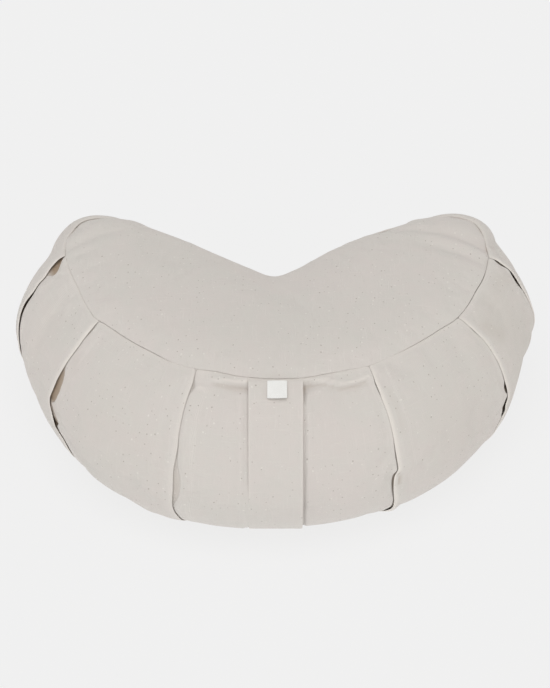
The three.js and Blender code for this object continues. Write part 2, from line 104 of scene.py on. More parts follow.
# Knife pleats. Head: where the fold meets the top seam, along the seam in mm. Each row starts with a
# height, from the bottom seam (0) to the top seam (1). Fold: the fold edge along the seam in mm. Gape:
# how wide the fold stands open and how deep, in mm. Rise: how far the upper cloth stands over the
# lower, in mm. Tilt: how far the floor of the open fold climbs to its edge. Snug is 1 where the lower
# cloth climbs to meet a closed edge; brown says how strongly painted shade darkens the inside, and rub
# how strongly the edge is painted paler, as rubbed wear and as a painted highlight where it catches light.
RIGHT_PLEAT = {"side": 1, "snug": 1, "tilt": [(0, 0), (1, 0)], "painted_inside_shade": 1, "edge_rub_and_highlight": 1}
LEFT_PLEAT = {"side": -1, "snug": 0, "edge_rub_and_highlight": 1}
PLEATS = [
    {**RIGHT_PLEAT, "head": 82, "rise": [(0, 1.2), (.5, 1.3), (1, 1.3)],
     "fold": [(0, 80), (.118, 83), (.185, 83.3), (.205, 84.8), (.233, 85.3), (.26, 84.8), (.312, 83),
              (.372, 81.5), (.415, 81), (.453, 81), (.485, 81.8), (.497, 82.6), (.508, 84.6), (.53, 84.6),
              (.58, 84.1), (.647, 84), (.733, 84.4), (.78, 84.2), (.81, 84), (.838, 83.6), (.873, 82.7),
              (.91, 82.4), (.943, 81.6), (.97, 82), (1, 82)],
     "gape": [(0, .2, .3), (.11, .3, .6), (.15, .5, 1.2), (.2, .7, 1.4), (.24, .5, 1), (.3, .5, 1),
              (.36, .7, 1.6), (.44, .9, 2), (.49, .6, 1.4), (.505, .25, .6), (.53, .45, 1.1),
              (.6, .45, 1.1), (.65, .3, .6), (.7, .1, .2), (.885, .1, .2), (.905, .4, .8), (.94, .4, .9),
              (.97, .15, .3), (1, .15, .3)]},
    {**RIGHT_PLEAT, "head": 187, "rise": [(0, 1.4), (1, 1.5)],
     "fold": [(0, 196), (.3, 193), (.335, 195.5), (.365, 198), (.39, 199), (.41, 198.3), (.43, 197.2),
              (.44, 199.3), (.45, 201), (.473, 202.3), (.517, 201), (.55, 200.2), (.578, 199.9),
              (.618, 199.6), (.657, 199.4), (.685, 199.1), (.715, 198.8), (.75, 198), (.79, 197),
              (.835, 195.8), (.875, 194), (.907, 192), (.948, 189.8), (.968, 188.3), (1, 187)],
     "gape": [(0, .2, .3), (.355, .3, .8), (.37, .9, 2.6), (.4, 1.5, 4.2), (.432, 1.3, 4),
              (.445, .7, 2.2), (.462, .6, 1.6), (.475, .3, .8), (.5, .3, .7), (.515, .8, 2.4),
              (.535, 1, 3), (.56, .8, 2.4), (.57, .4, 1), (.6, .3, .6), (.66, .2, .4), (.72, .15, .3),
              (.76, .1, .15), (.89, .1, .15), (.91, .3, .5), (.94, .3, .5), (.955, .1, .2),
              (1, .15, .2)]},
    {**RIGHT_PLEAT, "head": 281, "rise": [(0, 1.4), (1, 1.4)],
     "fold": [(0, 289), (.3, 282), (.6, 280), (.695, 280), (.78, 280), (.835, 280.5), (.853, 281.2),
              (.88, 283), (.902, 283.4), (.943, 281.6), (.958, 281.1), (.978, 281.4), (1, 281)],
     "gape": [(0, .2, .4), (.6, .15, .4), (.78, .3, .7), (.81, .5, 1.2), (.835, .9, 2.8), (.86, .9, 2.8),
              (.885, .6, 1.8), (.9, .3, .7), (.93, .35, .7), (.945, .6, 1.2), (.975, .7, 1.5),
              (.985, .2, .5), (1, .15, .3)]},
    {**LEFT_PLEAT, "head": 68.5, "painted_inside_shade": .4, "edge_rub_and_highlight": .45, "tilt": [(0, 1), (1, 1)],
     "rise": [(0, .8), (.3, .6), (.37, .4), (.6, .45), (.68, .9), (1, 1.1)],
     "fold": [(0, 65), (.175, 66), (.233, 66.2), (.285, 67.2), (.345, 67.5), (.388, 67.2), (.458, 66.7),
              (.52, 67), (.557, 67.4), (.598, 67.4), (.63, 67), (.665, 66.8), (.7, 66.7), (.728, 67.4),
              (.758, 67.9), (.81, 68), (.853, 68.3), (.895, 68), (.93, 67.5), (.95, 67), (.965, 67),
              (.983, 67.5), (1, 68.5)],
     "gape": [(0, .2, .3), (.17, .2, .5), (.2, .3, .8), (.27, .4, .9), (.3, .6, 1), (.345, 1, 1),
              (.37, 2.2, 1.2), (.4, 3.6, 1.3), (.435, 4.4, 1.3), (.487, 5, 1.3), (.527, 5, 1.2),
              (.56, 4.3, 1.1), (.59, 3.1, 1), (.615, 1.8, .9), (.65, .9, .9), (.682, .6, .6),
              (.7, .3, .5), (.75, .15, .3), (.88, .2, .4), (.915, .3, .5), (.93, 1.4, .8),
              (.945, 2.6, 1.3), (.957, 2.2, 1.3), (.968, .8, .6), (1, .2, .4)]},
    {**LEFT_PLEAT, "head": 179, "painted_inside_shade": 1.12, "tilt": [(0, .3), (.38, .4), (.43, 1), (1, 1)],
     "rise": [(0, 1), (.37, 1.2), (.45, .9), (.52, .8), (.57, .9), (.74, .9), (.8, 1.1), (1, 1.1)],
     "fold": [(0, 176), (.25, 166), (.33, 167), (.355, 171), (.367, 174), (.38, 177), (.392, 180.2),
              (.417, 181), (.443, 182.5), (.475, 185.2), (.495, 187.4), (.52, 188.4), (.55, 188.2),
              (.578, 187), (.613, 185.8), (.638, 185.3), (.667, 185), (.698, 184.1), (.725, 183.6),
              (.75, 183.1), (.772, 182.8), (.802, 182), (.825, 181.1), (.848, 180.5), (.873, 180),
              (.897, 179.6), (.922, 179.4), (.943, 179), (.965, 178.6), (1, 179.3)],
     "gape": [(0, .2, .4), (.34, .2, .4), (.36, .3, .8), (.375, .9, 2.4), (.385, 1.9, 3.8),
              (.4, 2.2, 2.6), (.41, 4, 1.9), (.425, 6.2, 1.9), (.438, 7.4, 1.5), (.45, 7.2, 1.3),
              (.47, 6.2, 1.3), (.49, 4.6, 1.2), (.505, 2.8, 1.1), (.517, 1.4, 1.1), (.525, 3.2, 1.8),
              (.54, 5.2, 2.2), (.57, 6.8, 2.3), (.6, 6.2, 2.3), (.63, 7, 2.3), (.65, 6, 2.2),
              (.68, 6, 2.1), (.705, 4.6, 2), (.725, 3.6, 1.8), (.745, 1.7, 1.2), (.755, .5, .6),
              (.8, .15, .3), (.93, .2, .4), (.95, .7, .8), (.985, .6, .7), (1, .2, .4)]},
    {**LEFT_PLEAT, "head": 284, "painted_inside_shade": 1.1, "tilt": [(0, 0), (.88, 0), (.92, 1.05), (.965, .95), (1, .2)],
     "rise": [(0, 1.2), (.65, 1.4), (.8, 1), (.9, 1), (.93, 1.2), (.98, 1.3), (1, 1.1)],
     "fold": [(0, 276), (.5, 258), (.55, 262), (.6, 267.5), (.645, 272.3), (.677, 274.3), (.703, 274.9),
              (.728, 275), (.763, 274.3), (.797, 274), (.82, 274.8), (.838, 276), (.858, 275.9),
              (.885, 274.8), (.91, 276.9), (.93, 278.4), (.96, 279.6), (.985, 281.8), (1, 284)],
     "gape": [(0, .2, .4), (.55, .3, .8), (.6, .6, 1.8), (.64, 1, 3), (.7, 1.2, 3.4), (.75, 1, 3),
              (.777, .7, 1.8), (.8, .3, .7), (.88, .2, .5), (.905, .6, .8), (.915, 3.4, 1.1),
              (.925, 7.4, 1.8), (.94, 9.4, 2.8), (.955, 9.4, 3.8), (.968, 7.8, 4.2), (.98, 4.8, 4),
              (.988, 2.4, 2.6), (.994, .8, 1), (1, .2, .4)]},
]
# Across one pleat, from the cloth that runs under the fold to the cloth that lies over it: distance
# past the fold edge as a share of the gape and in mm, height as shares of the depth and of the
# rise, then painted light and wear, from painted shade inside the fold (-1) to the edge painted paler
# as rubbed wear and painted highlight (1)
FOLD = [
    (-.25, -11.6, 0, 0, 0), (-.5, -8.6, .03, 0, 0), (-.88, -4.0, .06, 0, 0), (-1, -1.8, .06, 0, 0),
    (-1, -.6, 0, 0, .2), (-1, 0, -.35, 0, -.1), (-.97, .35, -.8, 0, -.6), (-.84, .7, -1, 0, -.9),
    (-.3, 1.7, -1, 0, -1), (0, 5.0, -1, 0, -1), (0, 8.2, -.9, 0, -1), (0, 10.4, -.5, 0, -1),
    (0, 11.3, -.15, .02, -1), (0, 10.2, 0, .06, -1), (0, 7.2, 0, .1, -1), (0, 3.8, .06, .13, -1),
    (0, 1.4, .12, .16, -.6), (0, .3, .16, .24, 0), (0, -.2, .18, .5, .7), (0, -.1, .18, .8, 1.1),
    (0, .7, .16, 1.04, 1), (0, 2.0, .12, 1.14, .75), (0, 3.8, .06, 1.0, .15), (0, 6.4, .01, .8, 0),
    (0, 12.6, 0, .8, 0),
]
# The places across a pleat that the simulation leaves where they are
FOLD_PINNED = range(3, 24)
# How the lower cloth climbs to meet the edge of a pleat that lies snug, by place across the pleat
SNUG = {2: .1, 3: .34, 4: .68, 5: .6}
# How the floor of an open pleat climbs towards the fold edge, by place across the pleat
TILT = {8: .3, 9: .85, 10: .8, 11: .4, 12: .1}
# The fold edge is read a little lower and higher too, which rounds its corners: share, step in height
FOLD_EASE = ((.15, -.011), (.25, -.005), (.2, 0), (.25, .005), (.15, .011))
# How far a pleat reaches to each side with its own columns, and beyond them with its raised cloth
# and with its run to the side
FOLD_REACH = 13 * MM
FOLD_FADE = 46 * MM
SHIFT_REACH = 50 * MM
# How much of the rise is left in the cloth beside a pleat, and where the seams sew it flat
BESIDE_PLEAT = 0.8
SEWN_FLAT = 0.4
SEWN_SHARE = 0.03
# An open fold this deep gets its painted shade in full
PAINTED_SHADE_DEPTH = 2.4 * MM

# Soft creases in the band: a line of points (distance along the seam in mm, height 0 to 1), then
# depth and half width in mm. A ridge has a negative depth.
BAND_CREASES = [
    ([(30, .985), (38.5, .978), (43.5, .97), (48, .96), (52.5, .95), (59, .945), (65.5, .945), (70, .95),
      (75, .957)], 2.1, 2.4),
    ([(35.5, .987), (42, .985), (47, .975), (53, .965), (61, .96), (68, .96), (73, .965),
      (78, .97)], -1.7, 2.2), ([(-48, .966), (-38, .968), (-31.5, .968), (-22, .97)], 1.5, 2.5),
    ([(-36, .967), (-20, .97)], 1.4, 2.4),
    ([(-54, .976), (-47, .978), (-41, .982), (-35.5, .984), (-28.5, .986), (-24, .988)], -1.6, 2.2),
    ([(-62, .948), (-58, .943), (-54, .938)], -1.4, 1.6), ([(-66, .94), (-59, .932)], .9, 2.2),
    ([(23, .98), (28, .984)], 2.6, 2.4), ([(23, .975), (23, .955)], 1.8, 2),
    ([(22.5, .95), (22.5, .925)], 1.4, 1.4), ([(86, .2), (90, .12)], -3, 6),
    ([(-92, .15), (-76, .15)], -2, 9), ([(51, .932), (55.5, .91), (53, .863), (54, .83)], .7, 2.6),
    ([(80, .63), (74, .59), (70, .56)], 1.2, 4), ([(80, .54), (77.5, .47), (75.5, .42), (74, .36)], 1.3, 3),
    ([(84.4, .485), (84, .44), (84, .41)], 2.4, .9),
    ([(83.5, .985), (85.5, .963), (87.5, .943), (88, .91)], .8, 1.8),
    ([(77, .8), (79, .72), (77, .66)], .8, 4), ([(-184, .545), (-178, .53), (-172, .512)], .7, 1.6),
    ([(25, .965), (29, .969)], 2.2, 3), ([(-210, .975), (-236, .955), (-262, .97)], .8, 4),
    ([(197, .93), (215, .9), (236, .9)], .8, 5), ([(105, .96), (122, .93), (140, .94)], .6, 5),
    ([(-95, .93), (-112, .9), (-130, .91)], .6, 5), ([(290, .97), (300, .93), (304, .88)], .8, 4),
    ([(-292, .96), (-304, .92), (-310, .86)], .8, 4), ([(306, .94), (312, .88), (314, .84)], 9, 9.5),
    ([(-314, .85), (-316, .78)], 3.6, 12), ([(395, .97), (420, .9), (440, .8)], .9, 6),
    ([(-400, .97), (-430, .88), (-445, .78)], .9, 6), ([(470, .95), (490, .8), (500, .6)], 1.2, 7),
    ([(-468, .95), (-492, .82), (-504, .6)], 1.2, 7), ([(360, .2), (372, .1), (390, .04)], .9, 5),
    ([(-355, .22), (-371, .1), (-388, .04)], .9, 5), ([(450, .25), (470, .12), (490, .04)], 1.0, 6),
    ([(-440, .22), (-468, .1), (-486, .03)], 1.0, 6),
]
# The way over the band from seam to seam, which turns its heights into distances
BAND_CLIMB = 235 * MM
# Lines of painted light on the band: painted shade in creases, in folds, beside the strap and over the less
# lit flanks, and painted highlight along crease ridges: line, strength (negative for paler) and half width in
# mm
BAND_PAINTED_LIGHT = [
    ([(23, .978), (27.5, .979)], .34, 1.7), ([(23.2, .975), (23.2, .96)], .3, 1.2),
    ([(84.4, .49), (84, .44), (84, .405)], 1.5, .8), ([(-190, .53), (-178, .5)], .15, 5),
    ([(30, .984), (43.5, .97), (52.5, .95), (65.5, .945), (75, .957)], .22, 1.5),
    ([(35.5, .989), (42, .987), (47, .978), (53, .968), (61, .963), (68, .963), (78, .972)], -.85, 1.1),
    ([(-48, .966), (-38, .968), (-22, .97)], .25, 1.6), ([(228, .86), (250, .6), (252, .3)], .1, 40),
    ([(140, .62), (152, .42)], .045, 40), ([(-130, .7), (-142, .5)], .045, 38),
    ([(-226, .8), (-238, .5)], .05, 36), ([(-84, .6), (-90, .3)], .025, 30),
    ([(-54, .978), (-47, .98), (-41, .984), (-28.5, .988), (-24, .99)], -.85, 1.1),
    ([(-62, .95), (-54, .94)], -.6, 1.0), ([(87.5, .9), (91, .8), (91, .7)], .06, 4),
    ([(-172, .78), (-176, .84)], .05, 5), ([(204, .9), (216, .8)], .1, 7),
    ([(262, .94), (272, .9)], .08, 8),
]

# Soft creases pressed into the top panel: start and end in plan, depth and half width, in mm
TOP_CREASES = [
    ((100, 104), (192, 78), 3.0, 8), ((130, 73), (192, 53), 2.8, 7.5), ((120, 92), (192, 66), -1.8, 7),
    ((189, 62), (184, 108), 1.8, 6), ((184, 108), (160, 129), 2.6, 8), ((-190, 76), (-140, 96), 2.6, 7),
    ((-190, 62), (-160, 64), 1.5, 5), ((-187, 101), (-158, 129), 2.8, 9), ((60, -98), (120, -70), .5, 9),
    ((-95, -86), (-60, -96), .5, 8),
]

# Mesh of the band and of the panels
COLUMN_STEP = 6.0 * MM
PANEL_STEP = 4.8 * MM
# The strap's edges on the band, the columns close to each, how far past them the band stays straight
# and over what way it then blends in
STRAP_EDGE = 24 * MM
STRAP_COLUMNS = np.array([-3.0, -1.5, -.8, -.1, .7, 1.6, 3.2]) * MM
STRAP_CLEAR = 4 * MM
STRAP_BLEND = 24 * MM
# Grooves that the tight strap presses into the band: place across, depth and half width
STRAP_GROOVES = ((-22.6 * MM, 0.5 * MM, 0.6 * MM), (24.8 * MM, 0.5 * MM, 0.9 * MM))
# Where the top seam stands a little open at the back of the left tip: from, to, width
SEAM_SLOT = (-352 * MM, -324 * MM, 1.7 * MM)
# The seam allowance, row by row: how far in and how far down in mm, under a faint and a full groove
TUCK_FAINT = ((0.9, 0.12), (1.8, 0.6), (3.4, 2.2), (7, 3.3))
TUCK_FULL = ((0.08, 0.3), (0.2, 2.2), (2.5, 2.9), (7, 3.3))
# How far the panels lap over a full groove, and how far the crown takes to rise from the seam
PANEL_LAP = 0.3 * MM
CROWN_REACH = 56 * MM
# Frames of simulation that settle a cloth
SETTLE_FRAMES = 16

# The strap: how far it stands off the band, how slack its right side hangs, how far its right shoulder
# lifts at the top seam, and how far it sits to the right
STRAP_OFF = 0.2 * MM
STRAP_SLACK = 1.3 * MM
STRAP_SHOULDER = 1.2 * MM
STRAP_ASIDE = 0.7 * MM
# The label: its thickness, its way out of the seam, how far it lies off the strap, how far its lower
# edge and its right corner curl up, and how far it sits to the right
LABEL_THICKNESS = 1.1 * MM
LABEL_HEAD = 0.9 * MM
LABEL_OFF = 0.3 * MM
LABEL_CURL = 1.2 * MM
LABEL_CORNER = 1.9 * MM
LABEL_ASIDE = 1.9 * MM

# The canvas: threads a metre, the painted shade between them, and its relief
THREADS = 1250
STRAP_THREADS = 1400
THREAD_SHADE = (.2, .18, .15)
CANVAS_RELIEF = 0.22 * MM

# The stage: brightness of the floor to the camera and to the cushion, and of the surround
FLOOR_GLOW = 0.765
FLOOR_BOUNCE = 0.99
SURROUND = 0.6
# Suns: azimuth from the front towards the right, elevation and spread in degrees, strength, colour
SUNS = {
    "key": (-8, 66, 50, 1.22, (1, 1, 1)),
    "low": (-4, 4, 60, 0.18, (1, 1, 1)),
    "right": (80, 20, 70, 0.12, (1, .74, .5)),
    "left": (-85, 20, 70, 0.06, (1, .78, .56)),
}
# The camera: its angle and distance, the point it looks at, from the front of the seam and over the
# floor, and the scale there in a picture this many pixels on its long side
CAMERA_ELEVATION = math.radians(38)
CAMERA_DISTANCE = 2.2
CAMERA_AIM = (0.1 * MM, 173 * MM, 60 * MM)
PIXELS_PER_METRE = 1086.0
LONG_SIDE_PIXELS = 688


def length_property(name, description, default):
    """A length that a maker would change."""
    return bpy.props.FloatProperty(name=name, description=description, default=default, unit="LENGTH")


class CushionSizes(bpy.types.PropertyGroup):
    """The sizes of the cushion that a maker would change."""

    bottom_seam: length_property("Bottom seam height", "Height of the bottom seam over the floor", 4 * MM)
    top_seam: length_property("Top seam height", "Height of the top seam over the floor", 158 * MM)
    crown: length_property("Crown", "How far the top panel rises over its seam", 11 * MM)
    seam_sink: length_property("Seam sink", "How far the stitching pulls a seam in", 0.35 * MM)
    panel_thickness: length_property(
        "Panel cloth", "Thickness of the panel cloth with its seam allowance", 1.4 * MM)
    strap_width: length_property("Strap width", "Width of the carry strap", 46 * MM)
    strap_thickness: length_property("Strap thickness", "Thickness of the folded strap", 1.4 * MM)
    tab_width: length_property("Label width", "Width of the woven label", 16.8 * MM)
    tab_length: length_property("Label length", "Visible length of the woven label", 15.5 * MM)


def colour_property(name, description, default):
    """A colour that a user would change."""
    return bpy.props.FloatVectorProperty(
        name=name, description=description, default=default, subtype="COLOR", size=3, min=0, max=1)


class ClothColours(bpy.types.PropertyGroup):
    """Colours of the canvas, the label and the stage."""

    canvas_warm: colour_property("Canvas, warm", "The warmer tone of the natural canvas", (.674, .627, .592))
    canvas_cool: colour_property("Canvas, cool", "The greyer tone of the natural canvas", (.657, .630, .588))
    fleck: colour_property("Fleck", "Seed flecks in the natural cotton", (.26, .21, .17))
    nub: colour_property("Nub", "Pale thick spots of yarn", (.80, .77, .72))
    # Rubbed edge: paler cloth along fold edges, the top seam and the strap's edges, partly rubbed wear and
    # partly painted highlight where ridges catch the light
    rubbed_and_highlit: colour_property("Rubbed edge", "The paler cloth along fold edges", (.82, .77, .71))
    # Fold inside: painted shade, a dark warm brown that stands in for the shade and warm bounce light inside
    # folds, creases and the seam groove
    inside: colour_property("Fold inside", "Painted shade inside the folds", (.30, .21, .13))
    label: colour_property("Label", "The white woven label", (.90, .90, .88))
    floor: colour_property("Floor", "The plain pale floor", (.11, .11, .11))


# Shape shared by the band and the panels

def trace_half_seam():
    """One half of the seam line as a dense chain, from the front centre to the bay."""
    facing = math.atan2(math.sin(FRONT_END_ANGLE) / FRONT_DEPTH, math.cos(FRONT_END_ANGLE) / FRONT_HALF_WIDTH)

    def arc(cx, cy, rx, ry, start, end, count):
        t = np.linspace(start, end, count + 1)
        return np.c_[cx + rx * np.cos(t), cy + ry * np.sin(t)]

    front = arc(0, FRONT_DEPTH, FRONT_HALF_WIDTH, FRONT_DEPTH, -math.pi / 2, FRONT_END_ANGLE, 400)
    tip = front[-1] - TIP_RADIUS * np.array([math.cos(facing), math.sin(facing)])
    bay = np.array([0, CENTRE_DEPTH + BAY_RADIUS])
    across = bay - tip
    turn = math.acos((TIP_RADIUS + BAY_RADIUS) / np.hypot(*across))
    leave = math.atan2(across[1], across[0]) % (2 * math.pi) - turn
    round_tip = arc(*tip, TIP_RADIUS, TIP_RADIUS, facing, leave, 120)
    round_bay = arc(*bay, BAY_RADIUS, BAY_RADIUS, leave - math.pi, -math.pi / 2, 40)
    flank = round_tip[-1] + np.linspace(0, 1, 60)[1:-1, None] * (round_bay[0] - round_tip[-1])
    chain = np.vstack([front, round_tip[1:], flank, round_bay])
    along = np.r_[0, np.cumsum(np.hypot(*np.diff(chain, axis=0).T))]
    return chain, along


SEAM_CHAIN, SEAM_ALONG = trace_half_seam()
SEAM_HALF = SEAM_ALONG[-1]


def plan_origin():
    """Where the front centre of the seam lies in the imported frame."""
    low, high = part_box("top_panel")
    edge_inset = 0.5 * MM
    return np.array([(low[0] + high[0]) / 2, low[1] - edge_inset])


PLAN_ORIGIN = plan_origin()


def seam_at(s):
    """Points and outward directions on the seam line, at signed distances from the front centre."""
    s = np.asarray(s, float)
    side = np.where(s < 0, -1.0, 1.0)
    d = np.clip(np.abs(s), 0, SEAM_HALF)

    def at(value):
        return np.stack([np.interp(value, SEAM_ALONG, SEAM_CHAIN[:, k]) for k in (0, 1)], -1)

    reach = 1.5 * MM
    ahead, behind = at(np.clip(d + reach, 0, SEAM_HALF)), at(np.clip(d - reach, 0, SEAM_HALF))
    run = ahead - behind
    run[d < reach] = (1, 0)
    run[d > SEAM_HALF - reach] = (-1, 0)
    run /= np.linalg.norm(run, axis=-1, keepdims=True)
    point = at(d)
    return (np.stack([side * point[..., 0], point[..., 1]], -1) + PLAN_ORIGIN,
            np.stack([side * run[..., 1], -run[..., 0]], -1))


def smooth_step(t):
    """0 below 0 and 1 above 1, smooth between."""
    t = np.clip(t, 0, 1)
    return t * t * (3 - 2 * t)


def curve_through(at, values, x):
    """A smooth curve through stations, level at the first one."""
    slope = np.zeros(len(at))
    slope[1:-1] = (values[2:] - values[:-2]) / (at[2:] - at[:-2])
    slope[-1] = (values[-1] - values[-2]) / (at[-1] - at[-2])
    k = np.clip(np.searchsorted(at, x, side="right") - 1, 0, len(at) - 2)
    span = at[k + 1] - at[k]
    t = np.clip((x - at[k]) / span, 0, 1)
    return ((2 * t**3 - 3 * t**2 + 1) * values[k] + (t**3 - 2 * t**2 + t) * span * slope[k]
            + (3 * t**2 - 2 * t**3) * values[k + 1] + (t**3 - t**2) * span * slope[k + 1])


def waves(x, lengths, seed):
    """A steady sum of waves, from -1 to 1: the same numbers on each run."""
    total = np.zeros(np.shape(x))
    for k, length in enumerate(lengths):
        total = total + np.sin(2 * math.pi * np.asarray(x) / length + 2.4 * seed + 1.7 * k)
    return total / len(lengths)


def pucker(s):
    """The small ripple that stitching leaves along a seam."""
    return waves(s, (11 * MM, 17 * MM, 29 * MM), 1) * 0.22 * MM


def by_side(s, at, left, right):
    """A value that follows the seam, read from a left and a right row of stations."""
    return np.where(np.asarray(s) < 0, np.interp(np.abs(s), at, left), np.interp(np.abs(s), at, right))


def top_seam_at(s):
    """Points of the top seam in plan, outward directions and lift: the seam is drawn in and out."""
    point, out_way = seam_at(s)
    drawn = by_side(s, BAND_AT, DRAWN_LEFT, DRAWN_RIGHT)
    return point + out_way * drawn[..., None], out_way, by_side(s, BAND_AT, LIFT_LEFT, LIFT_RIGHT)


def beside_run(here, a, b):
    """How far along a straight run each point lies, from 0 to 1, and how far away from it."""
    run = b - a
    t = np.clip(((here - a) @ run) / (run @ run), 0, 1)
    return t, np.linalg.norm(here - a - t[..., None] * run, axis=-1)


def line_field(s, v, lines, unit):
    """The sum of soft bands drawn along lines on the band."""
    total = np.zeros(np.shape(s))
    here = np.stack([s, v * BAND_CLIMB], -1)
    for line, amount, wide in lines:
        chain = [np.array((at * MM, height * BAND_CLIMB)) for at, height in line]
        nearest = np.min([beside_run(here, a, b)[1] for a, b in zip(chain, chain[1:])], axis=0)
        total = total + amount * unit * np.exp(-(nearest / (wide * MM)) ** 2)
    return total


def upright_squeeze(v):
    """How much closer together lines that stand upright at the front are, measured on the seam."""
    out = SWELL_LEFT[0] * np.sin(math.pi * np.clip(v, 0, 1) ** SWELL_LOW) ** SWELL_POWER
    return out / (out + FRONT_RADIUS)


def band_creases(s, v):
    """Depth of the soft creases in the band."""
    depth = line_field(s, v, BAND_CREASES, MM)
    across = s / (1 - upright_squeeze(v))
    along = smooth_step(v / 0.05) * smooth_step((1 - v) / 0.06)
    for at, deep, wide in STRAP_GROOVES:
        depth = depth + deep * np.exp(-((across - at) / wide) ** 2) * along
    return depth


def band_surface(sizes, s, v):
    """The band without pleats: v runs from the bottom seam (0) to the top seam (1)."""
    point, out_way = seam_at(s)
    swell = np.where(np.asarray(s) < 0,
                     curve_through(SWELL_AT, SWELL_LEFT, np.abs(s)),
                     curve_through(SWELL_AT, SWELL_RIGHT, np.abs(s)))
    v = np.clip(v, 0, 1)
    slim = by_side(s, SLIM_AT, SLIM_LEFT, SLIM_RIGHT) * smooth_step((0.62 - v) / 0.36)
    tip = (smooth_step((np.abs(s) - TIP_FROM) / TIP_BLEND)
           * smooth_step((TIP_TO - np.abs(s)) / TIP_BLEND))
    power = SWELL_POWER + (SHOULDER_POWER - SWELL_POWER) * tip * smooth_step((v - 0.5) / 0.25)
    out = swell * (1 - slim) * np.sin(math.pi * v**SWELL_LOW) ** power
    out = out + by_side(s, BAND_AT, DRAWN_LEFT, DRAWN_RIGHT) * smooth_step((v - 0.55) / 0.45)
    near_top, near_bottom = np.exp(-20 * (1 - v)), np.exp(-20 * v)
    sink = sizes.seam_sink * (np.exp(-120 * (1 - v)) * by_side(s, GROOVE_AT, GROOVE_LEFT, GROOVE_RIGHT)
                              - np.exp(-70 * v))
    lift = by_side(s, BAND_AT, LIFT_LEFT, LIFT_RIGHT) * smooth_step((v - 0.5) / 0.5)
    z = (sizes.bottom_seam + (sizes.top_seam - sizes.bottom_seam) * v - sink + lift
         + pucker(s) * (near_top - near_bottom))
    plan = point + out_way * out[..., None]
    return np.concatenate([plan, z[..., None]], -1)


def band_normal(sizes, s, v):
    """Outward directions of the band without pleats."""
    low, high = np.clip(v - 0.012, 0.002, 1), np.clip(v + 0.012, 0, 0.998)
    up = band_surface(sizes, s, high) - band_surface(sizes, s, low)
    _, out_way = seam_at(s)
    along = np.stack([-out_way[..., 1], out_way[..., 0], np.zeros(np.shape(out_way)[:-1])], -1)
    normal = np.cross(along, up)
    return normal / np.linalg.norm(normal, axis=-1, keepdims=True)


# Mesh helpers

def new_mesh_object(name, points, faces, weave=None, wear_and_painted_light=None):
    """A mesh object at the origin, with the cloth coordinates and the wear and painted light and shade that
    its material reads.
    """
    mesh = bpy.data.meshes.new(name)
    mesh.from_pydata([tuple(p) for p in points], [], [tuple(f) for f in faces])
    mesh.validate()
    if weave is not None:
        layer = mesh.attributes.new("weave", "FLOAT_VECTOR", "POINT")
        layer.data.foreach_set("vector", np.asarray(weave, np.float32).ravel())
        layer = mesh.attributes.new("wear_and_painted_light", "FLOAT", "POINT")
        layer.data.foreach_set("value", np.zeros(len(points), np.float32) if wear_and_painted_light is None
                               else np.asarray(wear_and_painted_light, np.float32).ravel())
    mesh.polygons.foreach_set("use_smooth", np.ones(len(mesh.polygons), bool))
    obj = bpy.data.objects.new(name, mesh)
    bpy.context.scene.collection.objects.link(obj)
    return obj


def coordinates(mesh):
    """The points of a mesh as an array."""
    flat = np.empty(len(mesh.vertices) * 3, np.float32)
    mesh.vertices.foreach_get("co", flat)
    return flat.reshape(-1, 3).astype(float)


def set_coordinates(mesh, points):
    """Moves the points of a mesh."""
    mesh.vertices.foreach_set("co", np.asarray(points, np.float32).ravel())
    mesh.update()


def apply_modifiers(obj):
    """Bakes the modifiers into the mesh and removes them."""
    shown = obj.evaluated_get(bpy.context.evaluated_depsgraph_get())
    made = bpy.data.meshes.new_from_object(shown)
    old = obj.data
    obj.modifiers.clear()
    obj.data = made
    made.name = obj.name
    bpy.data.meshes.remove(old)


def settle_cloth(obj, held, pressure, slack, cap):
    """Lets the cloth find its own small wrinkles over the filling, no point moving past the cap."""
    start = coordinates(obj.data)
    group = obj.vertex_groups.new(name="held")
    for index in np.flatnonzero(held > 0):
        group.add([int(index)], float(held[index]), "REPLACE")
    cloth = obj.modifiers.new("cloth", "CLOTH")
    settings = cloth.settings
    settings.quality = 6
    settings.mass = 0.25
    settings.tension_stiffness = settings.compression_stiffness = 18
    settings.shear_stiffness = 8
    settings.bending_stiffness = 0.6
    settings.vertex_group_mass = "held"
    settings.pin_stiffness = 4
    settings.shrink_min = -slack
    settings.use_pressure = True
    settings.uniform_pressure_force = pressure
    settings.effector_weights.gravity = 0
    cloth.point_cache.frame_start = 1
    cloth.point_cache.frame_end = SETTLE_FRAMES
    for number in range(1, SETTLE_FRAMES + 1):
        bpy.context.scene.frame_set(number)
    shown = obj.evaluated_get(bpy.context.evaluated_depsgraph_get())
    moved = coordinates(shown.data) - start
    obj.modifiers.clear()
    bpy.context.scene.frame_set(1)
    length = np.linalg.norm(moved, axis=1, keepdims=True)
    moved *= np.tanh(length / cap) * cap / np.maximum(length, 1e-9)
    set_coordinates(obj.data, start + moved)
    obj.vertex_groups.clear()


def refine(obj):
    """One level of Catmull-Clark subdivision, applied."""
    finer = obj.modifiers.new("finer", "SUBSURF")
    finer.levels = finer.render_levels = 1
    finer.boundary_smooth = "PRESERVE_CORNERS"
    apply_modifiers(obj)


def thicken(obj, thickness):
    """Gives a cloth its thickness, inward from the shown face."""
    solid = obj.modifiers.new("thickness", "SOLIDIFY")
    solid.thickness = thickness
    solid.offset = -1
    solid.use_even_offset = False
    apply_modifiers(obj)


def ring_faces(rings, count):
    """Four-sided faces between rings of points, each closed on itself."""
    low = [(j * count + i, j * count + (i + 1) % count) for j in range(rings - 1) for i in range(count)]
    return [(a, b, b + count, a + count) for a, b in low]


def apart(spots, others):
    """The distance from each spot to each of the others."""
    return np.linalg.norm(spots[:, None] - others[None], axis=-1)


# Band

